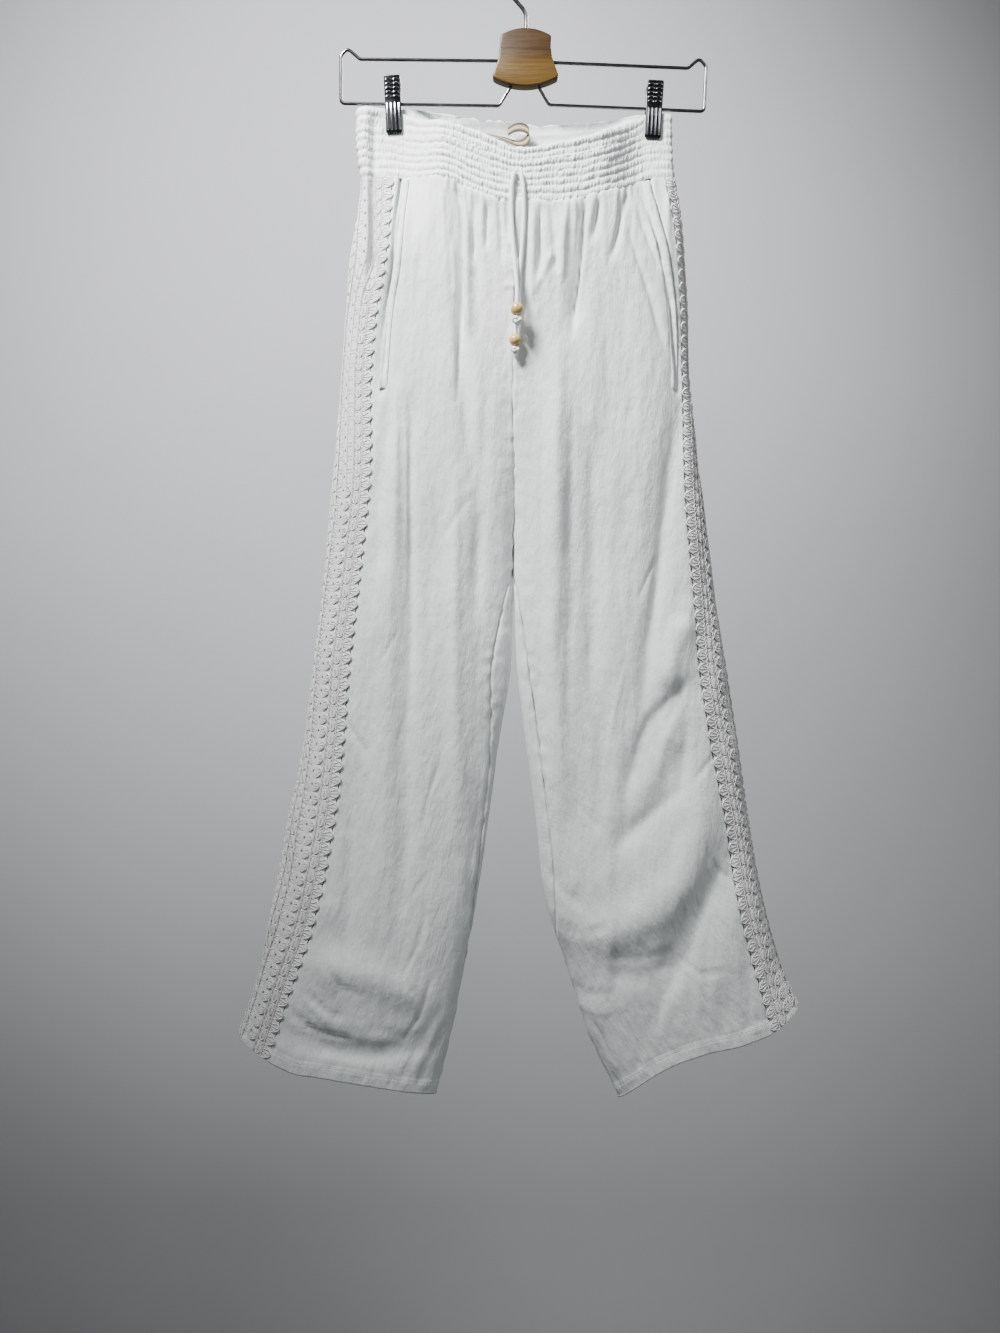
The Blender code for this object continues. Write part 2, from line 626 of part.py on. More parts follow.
def build_waistband():
    """The shirred tube: rows of small gathers outside, plain inside."""
    columns = 2 * GATHERS
    levels = 2 * CHANNELS + 1
    inner_rows = 4
    bm = bmesh.new()
    outside = []
    for row in range(levels):
        points, out, free = band_loop(row / (levels - 1), columns)
        puff = 0.25 + 0.75 * (row % 2)
        shift = (row // 2) % 2
        crest = np.array([(k + shift) % 2 for k in range(columns)])
        uneven = 0.85 + 0.15 * np.sin(1.7 * np.arange(columns) + 2.1 * row)
        lift = GATHER_RELIEF * puff * (0.35 + 0.65 * crest) * uneven * free
        places = points + out * lift[:, None]
        outside.append([bm.verts.new(place) for place in places])
    inside = []
    for row in range(inner_rows):
        points, out, free = band_loop(row / (inner_rows - 1), GATHERS)
        places = points - out * CLOTH
        inside.append([bm.verts.new(place) for place in places])
    for sheet in (outside, inside):
        for upper, lower in zip(sheet[:-1], sheet[1:]):
            for k in range(len(upper)):
                after = (k + 1) % len(upper)
                bm.faces.new((upper[k], upper[after], lower[after], lower[k]))
    zip_strips(bm, outside[0], inside[0], True)
    zip_strips(bm, outside[-1], inside[-1], True)
    bmesh.ops.recalc_face_normals(bm, faces=bm.faces)
    mesh_part("waistband", bm, "cloth")


def build_label():
    """A bare ribbon sewn inside the back of the waistband, its end curled into a loop."""
    # middle of the ribbon and the direction of its width, from the sewn end to the tip
    rows = (
        ((-0.0390, 0.0090, -0.1660), (0.0, 0.95, 0.30)),
        ((-0.0290, 0.0080, -0.1690), (0.0, 0.90, 0.44)),
        ((-0.0190, 0.0065, -0.1730), (0.0, 0.80, 0.60)),
        ((-0.0100, 0.0040, -0.1775), (-0.10, 0.70, 0.70)),
        ((-0.0020, 0.0010, -0.1780), (-0.20, 0.62, 0.76)),
        ((0.0030, 0.0000, -0.1730), (-0.10, 0.60, 0.79)),
        ((0.0025, 0.0010, -0.1665), (0.0, 0.60, 0.80)),
        ((-0.0040, 0.0025, -0.1620), (0.0, 0.70, 0.70)),
        ((-0.0120, 0.0035, -0.1625), (0.0, 0.80, 0.60)),
        ((-0.0180, 0.0040, -0.1660), (0.0, 0.85, 0.52)),
    )
    middle = np.array([row[0] for row in rows])
    way = np.array([row[1] for row in rows])
    way /= np.linalg.norm(way, axis=1, keepdims=True)
    out = np.cross(np.gradient(middle, axis=0), way)
    out /= np.linalg.norm(out, axis=1, keepdims=True)
    across = np.array([-0.5, 0.0, 0.5]) * LABEL_WIDTH
    grid = middle[:, None] + way[:, None] * across[None, :, None]
    shift = out[:, None] * LABEL_THICK / 2
    wall_part("label", grid + shift, grid - shift, "label")


# ---- drawstring ---------------------------------------------------------------------------

SHORT_ROUTE = (
    (-0.0110, -0.0335, -0.2145), (-0.0138, -0.0338, -0.2260), (-0.0152, -0.0344, -0.2510),
    (-0.0138, -0.0362, -0.2800), (-0.0114, -0.0398, -0.3100), (-0.0098, -0.0436, -0.3310),
    (-0.0095, -0.0460, -0.3430), (-0.0095, -0.0462, -0.3520), (-0.0095, -0.0462, -0.3606),
)
LONG_ROUTE = (
    (-0.0060, -0.0335, -0.2155), (-0.0040, -0.0338, -0.2280), (-0.0028, -0.0340, -0.2560),
    (-0.0045, -0.0346, -0.2900), (-0.0078, -0.0356, -0.3280), (-0.0096, -0.0368, -0.3540),
    (-0.0110, -0.0376, -0.3690), (-0.0112, -0.0378, -0.3750), (-0.0112, -0.0378, -0.3810),
    (-0.0112, -0.0378, -0.3880),
)
BEAD_UPPER = ((-0.0095, -0.0462, -0.3546), 0.0065)
BEAD_LOWER = ((-0.0112, -0.0378, -0.3825), 0.0060)


def bead_height(radius):
    """Half the height of a bead where its bore cuts the ball."""
    bore = CORD_RADIUS + BORE_SLACK + 0.0001
    return bore, math.sqrt(radius ** 2 - bore ** 2)


def build_bead(name, place, radius):
    """A turned wooden bead: a ball with a bore for the cord."""
    bore, half = bead_height(radius)
    first = math.atan2(half, bore)
    angles = np.linspace(first, -first, 9)
    outline = [(radius * math.cos(a), 0.0, radius * math.sin(a)) for a in angles]
    bm = bmesh.new()
    verts = [bm.verts.new(point) for point in outline]
    for k in range(len(verts)):
        bm.edges.new((verts[k - 1], verts[k]))
    bead = mesh_part(name, bm, "bead")
    turn = bead.modifiers.new("turned", "SCREW")
    turn.steps = 12
    turn.render_steps = 12
    turn.use_merge_vertices = True
    turn.merge_threshold = 0.00005
    bead.location = place


def build_knot(name, place, width, height):
    """The knot under a bead, a rounded lump with a waist where the cord crosses."""
    bm = bmesh.new()
    bmesh.ops.create_uvsphere(bm, u_segments=10, v_segments=7, radius=1.0)
    for vert in bm.verts:
        waist = 1.0 - 0.12 * math.exp(-(vert.co.z / 0.22) ** 2)
        vert.co.x *= waist
        vert.co.y *= waist
    bmesh.ops.scale(bm, vec=(width / 2, width / 2, height / 2), verts=bm.verts)
    knot = mesh_part(name, bm, "cord")
    knot.location = place


def build_drawstring():
    """The two free ends of the waist cord, each with a bead and a knot."""
    wire_part("drawstring_short", smooth_route(SHORT_ROUTE, 16), CORD_RADIUS, "cord")
    wire_part("drawstring_long", smooth_route(LONG_ROUTE, 18), CORD_RADIUS, "cord")
    sizes = {"upper": (BEAD_UPPER, 0.0105, 0.0096), "lower": (BEAD_LOWER, 0.0092, 0.0076)}
    for name, ((place, radius), width, height) in sizes.items():
        build_bead(f"bead_{name}", place, radius)
        below = bead_height(radius)[1] + SEAM_GAP + height / 2
        build_knot(f"knot_{name}", (place[0], place[1], place[2] - below), width, height)


# ---- hanger -------------------------------------------------------------------------------

def rounded(corners, radius, steps=3):
    """A line through corners in the XZ plane, with each inner corner rounded off."""
    path = [np.array(corners[0], float)]
    for before, here, after in zip(corners[:-2], corners[1:-1], corners[2:]):
        here = np.array(here, float)
        back = np.array(before) - here
        ahead = np.array(after) - here
        back_len = np.linalg.norm(back)
        ahead_len = np.linalg.norm(ahead)
        cosine = np.dot(back, ahead) / (back_len * ahead_len)
        reach = radius / math.tan(math.acos(np.clip(cosine, -1.0, 1.0)) / 2)
        reach = min(reach, 0.48 * back_len, 0.48 * ahead_len)
        start = here + back / back_len * reach
        end = here + ahead / ahead_len * reach
        for t in np.linspace(0.0, 1.0, steps + 1):
            path.append(start * (1 - t) ** 2 + 2 * here * t * (1 - t) + end * t ** 2)
    path.append(np.array(corners[-1], float))
    return [(p[0], 0.0, p[1]) for p in path]


# corners of the wire arms (x, z), from the plate's side round to its underside
WIRE_CORNERS = {
    "left": ((-0.0235, -0.0940), (-0.1660, -0.0923), (-0.1785, -0.0815), (-0.1850, -0.0885),
             (-0.1850, -0.1365), (-0.0270, -0.1390), (-0.0130, -0.1160)),
    "right": ((0.0225, -0.0955), (0.1620, -0.1013), (0.1735, -0.0915), (0.1800, -0.0995),
              (0.1780, -0.1445), (0.0230, -0.1380), (0.0105, -0.1165)),
}
PLATE_LEFT = ((-0.0250, -0.0700), (-0.0260, -0.0780), (-0.0275, -0.0930), (-0.0325, -0.1080),
              (-0.0335, -0.1115), (-0.0310, -0.1140))
PLATE_RIGHT = ((0.0250, -0.0710), (0.0247, -0.0830), (0.0270, -0.0960), (0.0315, -0.1080),
               (0.0325, -0.1110), (0.0300, -0.1135))
PLATE_TOP_RISE = 0.0070
PLATE_FOOT_SAG = 0.0075


def plate_outline():
    """Outline of the wooden plate: waisted sides, a domed top and a sagging foot."""
    def arch(start, end, height):
        points = []
        for t in np.linspace(0.0, 1.0, 9)[1:-1]:
            x = start[0] + (end[0] - start[0]) * t
            z = start[1] + (end[1] - start[1]) * t + height * 4.0 * t * (1.0 - t)
            points.append((x, z))
        return points
    top = arch(PLATE_LEFT[0], PLATE_RIGHT[0], PLATE_TOP_RISE)
    foot = arch(PLATE_RIGHT[-1], PLATE_LEFT[-1], -PLATE_FOOT_SAG)
    return list(PLATE_LEFT[::-1]) + top + list(PLATE_RIGHT) + foot


def bore_cutter(name, start, end, radius):
    """A hidden cylinder between two places, to cut a bore with."""
    start = Vector(start)
    end = Vector(end)
    bm = bmesh.new()
    turn = (end - start).to_track_quat("Z", "Y").to_matrix().to_4x4()
    place = Matrix.Translation((start + end) / 2) @ turn
    bmesh.ops.create_cone(bm, cap_ends=True, segments=12, radius1=radius, radius2=radius,
                          depth=(end - start).length, matrix=place)
    mesh = bpy.data.meshes.new(name)
    bm.to_mesh(mesh)
    bm.free()
    cutter = bpy.data.objects.new(name, mesh)
    cutter.hide_render = True
    cutter.display_type = "WIRE"
    SHELVES["cutters"].objects.link(cutter)
    return cutter


def build_plate(bores):
    """The wooden plate with a bore for the hook and for each end of the wires."""
    bm = bmesh.new()
    corners = [bm.verts.new((x, -PLATE_THICK / 2, z)) for x, z in plate_outline()]
    face = bm.faces.new(corners)
    grown = bmesh.ops.extrude_face_region(bm, geom=[face])
    moved = [item for item in grown["geom"] if isinstance(item, bmesh.types.BMVert)]
    bmesh.ops.translate(bm, vec=(0.0, PLATE_THICK, 0.0), verts=moved)
    bmesh.ops.recalc_face_normals(bm, faces=bm.faces)
    plate = mesh_part("hanger_plate", bm, "wood", sharp=35.0)
    soft = plate.modifiers.new("rounded edge", "BEVEL")
    soft.width = 0.0014
    soft.segments = 2
    soft.limit_method = "ANGLE"
    soft.angle_limit = math.radians(60)
    for name, (start, end, radius) in bores.items():
        cut = plate.modifiers.new(name, "BOOLEAN")
        cut.operation = "DIFFERENCE"
        cut.solver = "EXACT"
        cut.object = bore_cutter(name, start, end, radius)


def hook_route():
    """The hook: a stem out of the plate, a bend to the left and a round crook."""
    centre = -(HOOK_BEND - HOOK_RADIUS)
    stem = [(0.0, -0.0740), (0.0, -0.0600), (0.0, -0.0480), (-0.0030, -0.0420),
            (-0.0088, -0.0352)]
    crook = []
    for angle in np.radians(np.linspace(217.0, -38.0, 15)):
        crook.append((HOOK_BEND * math.cos(angle), centre + HOOK_BEND * math.sin(angle)))
    return [(x, 0.0, z) for x, z in stem + crook]


def build_hanger():
    """Hook, plate and the two wire arms."""
    route = hook_route()
    wire_part("hanger_hook", route, HOOK_RADIUS, "chrome")
    bores = {"hook bore": ((0.0, 0.0, -0.0744), (0.0, 0.0, -0.0550),
                           HOOK_RADIUS + BORE_SLACK + 0.0001)}
    slack = WIRE_RADIUS + BORE_SLACK + 0.0001
    for side, corners in WIRE_CORNERS.items():
        path = rounded(corners, 0.0045)
        wire_part(f"hanger_wire_{side}", path, WIRE_RADIUS, "chrome")
        for end, (tip, inward) in {"side": (path[0], path[1]), "foot": (path[-1], path[-2])}.items():
            way = (Vector(inward) - Vector(tip)).normalized()
            bores[f"{side} {end} bore"] = (Vector(tip) - way * 0.0004, Vector(tip) + way * 0.020,
                                           slack)
    build_plate(bores)


def wire_place(side, x):
    """Height and slope of the lower bar of a wire arm at a place."""
    corners = WIRE_CORNERS[side]
    (x0, z0), (x1, z1) = corners[4], corners[5]
    slope = (z1 - z0) / (x1 - x0)
    return z0 + (x - x0) * slope, math.atan(slope)


JAW_ROWS = np.array((
    # drop from the clip's top, outer depth, inner depth, height of the ribs
    (0.0000, 0.0098, 0.0068, 0.0000),
    (0.0090, 0.0082, 0.0052, 0.0006),
    (0.0210, 0.0068, 0.0037, 0.0006),
    (0.0240, 0.0065, 0.0035, 0.0002),
    (0.0270, 0.0065, 0.0035, 0.0010),
    (0.0520, 0.0067, 0.0035, 0.0010),
    (0.0555, 0.0064, 0.0035, 0.0000),
))


def build_clip(side):
    """Two jaws with ribbed faces and the spring sleeve between them, round the wire."""
    columns = 2 * CLIP_RIBS + 1
    across = np.linspace(-CLIP_WIDTH / 2, CLIP_WIDTH / 2, columns)
    crest = np.array([k % 2 for k in range(columns)], float)
    lean = math.radians(CLIP_LEAN[side])
    centre = CLIP_X[side]
    for jaw, sign in (("front", -1.0), ("back", 1.0)):
        outer = np.zeros((len(JAW_ROWS), columns, 3))
        inner = np.zeros_like(outer)
        for k, (drop, outside, inside, rib) in enumerate(JAW_ROWS):
            middle = drop - CLIP_HEIGHT / 2
            x = centre + across * math.cos(lean) + middle * math.sin(lean)
            z = -CLIP_TOP[side] - CLIP_HEIGHT / 2 - middle * math.cos(lean) \
                + across * math.sin(lean)
            outer[k] = np.stack([x, sign * (outside + rib * crest), z], axis=1)
            inner[k] = np.stack([x, np.full(columns, sign * inside), z], axis=1)
        wall_part(f"clip_{side}_{jaw}", outer, inner, "chrome")
    z, slope = wire_place(side, centre)
    bm = bmesh.new()
    bore = WIRE_RADIUS + BORE_SLACK
    half = SLEEVE_LENGTH / 2
    outline = ((half, SLEEVE_RADIUS), (-half, SLEEVE_RADIUS), (-half, bore), (half, bore))
    verts = [bm.verts.new((x, 0.0, r)) for x, r in outline]
    for k in range(len(verts)):
        bm.edges.new((verts[k - 1], verts[k]))
    sleeve = mesh_part(f"clip_{side}_spring", bm, "chrome")
    turn = sleeve.modifiers.new("turned", "SCREW")
    turn.axis = "X"
    turn.steps = 12
    turn.render_steps = 12
    turn.use_merge_vertices = True
    turn.merge_threshold = 0.00005
    sleeve.location = (centre, 0.0, z)
    sleeve.rotation_euler = (0.0, -slope, 0.0)


def build_all():
    """Every piece of the pants and of their hanger."""
    build_waistband()
    for half in ("left", "right"):
        build_panels(half)
    build_label()
    build_drawstring()
    build_hanger()
    for side in ("left", "right"):
        build_clip(side)


build_all()
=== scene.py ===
"""Looks of wide-leg beach pants with crochet side lace, on their clip hanger.

Metres, +Z up, the front faces -Y, and the origin is the inner top of the hanger's hook.
"left" and "right" are as seen from the front. "drop" is the height measured down from the
origin, so z = -drop. The first tables are those of the CAD source, with its lower front
folds flatter, so that the cloth lies close to the form of its solids.
"""
import math

import bmesh
import bpy
import numpy as np
from mathutils import Matrix, Vector


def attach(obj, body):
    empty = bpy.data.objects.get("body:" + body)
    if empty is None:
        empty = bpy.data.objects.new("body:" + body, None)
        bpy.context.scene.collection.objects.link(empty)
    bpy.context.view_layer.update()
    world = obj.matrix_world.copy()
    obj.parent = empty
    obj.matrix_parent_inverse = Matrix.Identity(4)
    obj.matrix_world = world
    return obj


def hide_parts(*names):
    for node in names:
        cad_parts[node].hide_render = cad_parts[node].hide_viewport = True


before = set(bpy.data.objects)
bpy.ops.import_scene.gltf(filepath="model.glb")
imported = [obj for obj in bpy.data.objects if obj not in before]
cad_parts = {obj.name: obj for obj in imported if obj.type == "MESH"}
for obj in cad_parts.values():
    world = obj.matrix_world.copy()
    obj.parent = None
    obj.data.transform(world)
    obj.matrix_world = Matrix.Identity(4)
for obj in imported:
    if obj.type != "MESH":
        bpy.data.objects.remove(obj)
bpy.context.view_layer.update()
bpy.ops.object.select_all(action="DESELECT")

# ---- driving sizes ---------------------------------------------------------------------------
SEAM_GAP = 0.0003
WAIST_GAP = 0.0005
LACE_WIDTH = 0.054           # lace band, seam to seam
LACE_REPEAT = 0.0132         # one petal of its edge
HEM_WIDTH = 0.012            # turned hem
HEM_RELIEF = 0.0007          # how much thicker the turned hem is
CROTCH = 0.596               # drop of the point where the four leg seams meet
WAIST_LINE = 0.212           # drop of the waistband's lower edge at the side folds
SIDE_ROUND = 0.006           # rounding of the side folds where a clip holds them flat
POCKET_END = 0.430           # drop of the pocket mouth's lower end

GRIP_HALF = 0.0032           # cloth held in a clip: its outer faces, either side of the middle
CLIP_WIDTH = 0.016
CLIP_HEIGHT = 0.0555
CLIP_X = {"left": -0.1325, "right": 0.1275}
CLIP_TOP = {"left": 0.112, "right": 0.117}
CLIP_LEAN = {"left": 2.2, "right": -3.2}     # degrees, foot towards the middle

WIRE_RADIUS = 0.00165
HOOK_RADIUS = 0.0020
HOOK_BEND = 0.0190           # radius of the hook at the middle of its wire
PLATE_THICK = 0.013
CORD_RADIUS = 0.0021
RIBBON_WIDTH = 0.011

CLOTH_WALL = 0.0009
THIN_WALL = 0.0005           # wall of the welts and the ribbon
PANEL_STEP = 0.0034          # between the rows of a panel's surface
PANEL_COLUMNS = {"front": 86, "back": 56}
BAND_COLUMNS = 760
CREASE_DEPTH = 2.2           # how much deeper the upper small creases are than their table says
LOW_CREASE_DEPTH = 1.1       # the same for those lower down

FACES = ("front", "back")
SIDES = ("left", "right")
TURN = {"left": 1.0, "right": -1.0}          # which way round a half's sections run
FINE = 141                                   # points across one face of a fine section
SHARE = 0.5 - 0.5 * np.cos(np.linspace(0.0, math.pi, FINE))


def metres(table):
    """A table of mm with a part for each half or face, as arrays in metres."""
    return {part: np.array(rows) / 1000 for part, rows in table.items()}


# ---- outline of each half, mm, one row for each height ---------------------------------------
# outer: the side fold; inner: centre line, then the leg's inner fold below the crotch;
# lace: front edge of the lace; seam: inner leg seam as seen from the front;
# front, back, fold: depth of the front, of the back and of the folds between them.
COLUMNS = ("drop", "outer", "inner", "lace", "seam", "front", "back", "fold")
HALVES = metres({
    "left": (
        (142, -168, -11.5, -133, -12, -26, 16, 0), (183, -168, -11.5, -133, -12, -28, 17, 0),
        (220, -164, -11.5, -133, -12, -29, 18, 0), (248, -167, -11.5, -134, -12, -30, 18, -1),
        (305, -176, -11.8, -139, -12, -31, 18, -2), (340, -178, -12, -146, -12, -31, 18, -3),
        (400, -182, -12.3, -152, -12, -31, 17, -3), (520, -192, -12.8, -154, -13, -29, 16, -4),
        (596, -199, -13, -162, -13, -27, 15, -4), (640, -203, -13.4, -167, -23, -28, 14, -4),
        (700, -211, -15, -174, -34, -29, 14, -5), (770, -219.5, -26, -179, -35, -30, 14, -5),
        (850, -235.5, -37, -189, -43, -31, 14, -5), (930, -250, -49, -207, -56, -33, 14, -6),
        (1000, -264, -62, -232, -69, -34, 15, -6), (1063, -285, -74, -254, -81, -33, 16, -6),
        (1125, -311, -90, -277, -95, -32, 16, -6)),
    "right": (
        (142, 145.5, -11.5, 136.5, -12, -26, 16, 0), (183, 145.5, -11.5, 137.5, -12, -28, 17, 0),
        (220, 149, -11.5, 139, -12, -29, 18, 0), (248, 153.5, -11.5, 145, -12, -30, 18, -1),
        (305, 158, -11.8, 151, -12, -31, 18, -2), (340, 160, -12, 152.7, -12, -31, 18, -3),
        (400, 161, -12.3, 154.6, -12, -31, 17, -3), (520, 173.6, -12.8, 156, -13, -29, 16, -4),
        (596, 183, -13, 161, -13, -27, 15, -4), (640, 188, -12.5, 165, -6.5, -28, 14, -4),
        (700, 197.5, -9.6, 169.5, 2, -29, 14, -5), (770, 208, -1.4, 180, 12, -30, 14, -6),
        (850, 220, 9.3, 196, 24, -32, 14, -6), (930, 233.5, 18.5, 209, 35, -36, 14, -7),
        (1000, 254, 42, 229.5, 60, -34, 15, -6), (1063, 283.5, 61.5, 250.5, 79, -31, 16, -6),
        (1125, 311, 92, 276, 106, -30, 16, -6)),
})

# ---- edges of the waistband, mm: rows of x and drop ------------------------------------------
BAND_TOP = metres({
    "front": ((-168, 143), (-133, 144), (-98, 158), (-60, 170), (-35, 180), (-10, 191),
              (3, 191), (25, 187), (57, 180), (90, 168), (112, 155), (127, 149), (146, 148)),
    "back": ((-168, 143), (-133, 142), (-75, 142), (-40, 147), (-10, 149), (10, 153),
             (40, 151), (90, 149), (127, 147), (146, 148)),
})
BAND_FOOT = metres({
    "front": ((-168, 212), (-133, 212), (-100, 217), (-75, 222), (-55, 233), (-30, 242),
              (0, 244), (35, 245), (62, 239), (100, 226), (120, 215), (146, 212)),
    "back": ((-168, 212), (-133, 212), (-60, 220), (0, 223), (60, 219), (120, 213),
             (146, 212)),
})

# ---- hem: rows of 1000 × share (0 side fold, 1 inner fold) and drop in mm --------------------
HEM_LINE = metres({
    "left": ((0, 1063), (90, 1077), (250, 1094), (470, 1102), (770, 1113), (900, 1118),
             (1000, 1123)),
    "right": ((0, 1036), (120, 1054), (310, 1069), (540, 1079), (690, 1088), (800, 1099),
              (900, 1112), (1000, 1127)),
})

# ---- pocket mouth, mm: rows of drop and how far its two edges lie from the lace --------------
POCKET_EDGES = metres({
    "left": ((212, 10, 18), (250, 7, 15), (340, 9, 17), (430, 9, 17), (600, 12, 23),
             (1125, 12, 24)),
    "right": ((212, 16, 24), (250, 15, 23), (300, 10, 18), (340, 7, 15), (430, 5, 13),
              (600, 10, 21), (1125, 12, 24)),
})

# ---- largest folds, mm: height (+ ridge, - trough), width, path of (x, drop) -----------------
FOLDS = {
    ("left", "front"): (
        (-6, 6, (-151, 160), (-151, 215), (-153, 335)),
        (-5, 7, (-67, 230), (-66, 340), (-55, 517)),
        (4.5, 11, (-128, 430), (-127, 556), (-136, 771), (-142, 960)),
        (-4, 9, (-116, 440), (-116, 732), (-119, 930)),
        (4, 10, (-67, 517), (-69, 732), (-68, 870)),
        (-3.5, 8, (-47, 468), (-47, 556), (-52, 654)),
        (-2.8, 12, (-173, 790), (-171, 890), (-170, 960)),
        (4.2, 17, (-204, 992), (-153, 1002), (-95, 1026)),
        (-3.8, 11, (-236, 1056), (-192, 1072), (-143, 1076), (-94, 1066))),
    ("right", "front"): (
        (-5.5, 7, (56, 257), (51, 301), (45, 370)),
        (6, 13, (29, 400), (29, 536), (26, 654), (32, 800), (24, 890)),
        (-3.5, 12, (72, 478), (66, 700), (72, 850)),
        (-4.2, 13, (144, 470), (132, 595), (122, 680), (111, 780)),
        (3.6, 11, (158, 649), (143, 685), (133, 722)),
        (-3.6, 13, (165, 712), (146, 737), (126, 757), (111, 791), (96, 830)),
        (-4, 15, (150, 771), (138, 820), (121, 845), (84, 879)),
        (5.8, 20, (175, 801), (170, 860), (150, 908), (121, 938), (82, 957), (47, 952)),
        (-5, 18, (189, 889), (175, 928), (160, 967), (136, 1026)),
        (-2.4, 12, (72, 1001), (111, 1001), (150, 982))),
    ("left", "back"): (
        (-4, 10, (-140, 240), (-138, 420), (-146, 640)),
        (3.5, 11, (-98, 300), (-104, 600), (-128, 880)),
        (-4, 11, (-58, 240), (-64, 480), (-90, 860)),
        (4, 15, (-220, 1000), (-165, 1016), (-110, 1010))),
    ("right", "back"): (
        (-4, 10, (110, 240), (112, 420), (126, 640)),
        (3.5, 11, (70, 300), (78, 600), (104, 880)),
        (-4, 11, (30, 240), (36, 480), (62, 860)),
        (4, 15, (200, 980), (150, 1000), (95, 1008))),
}

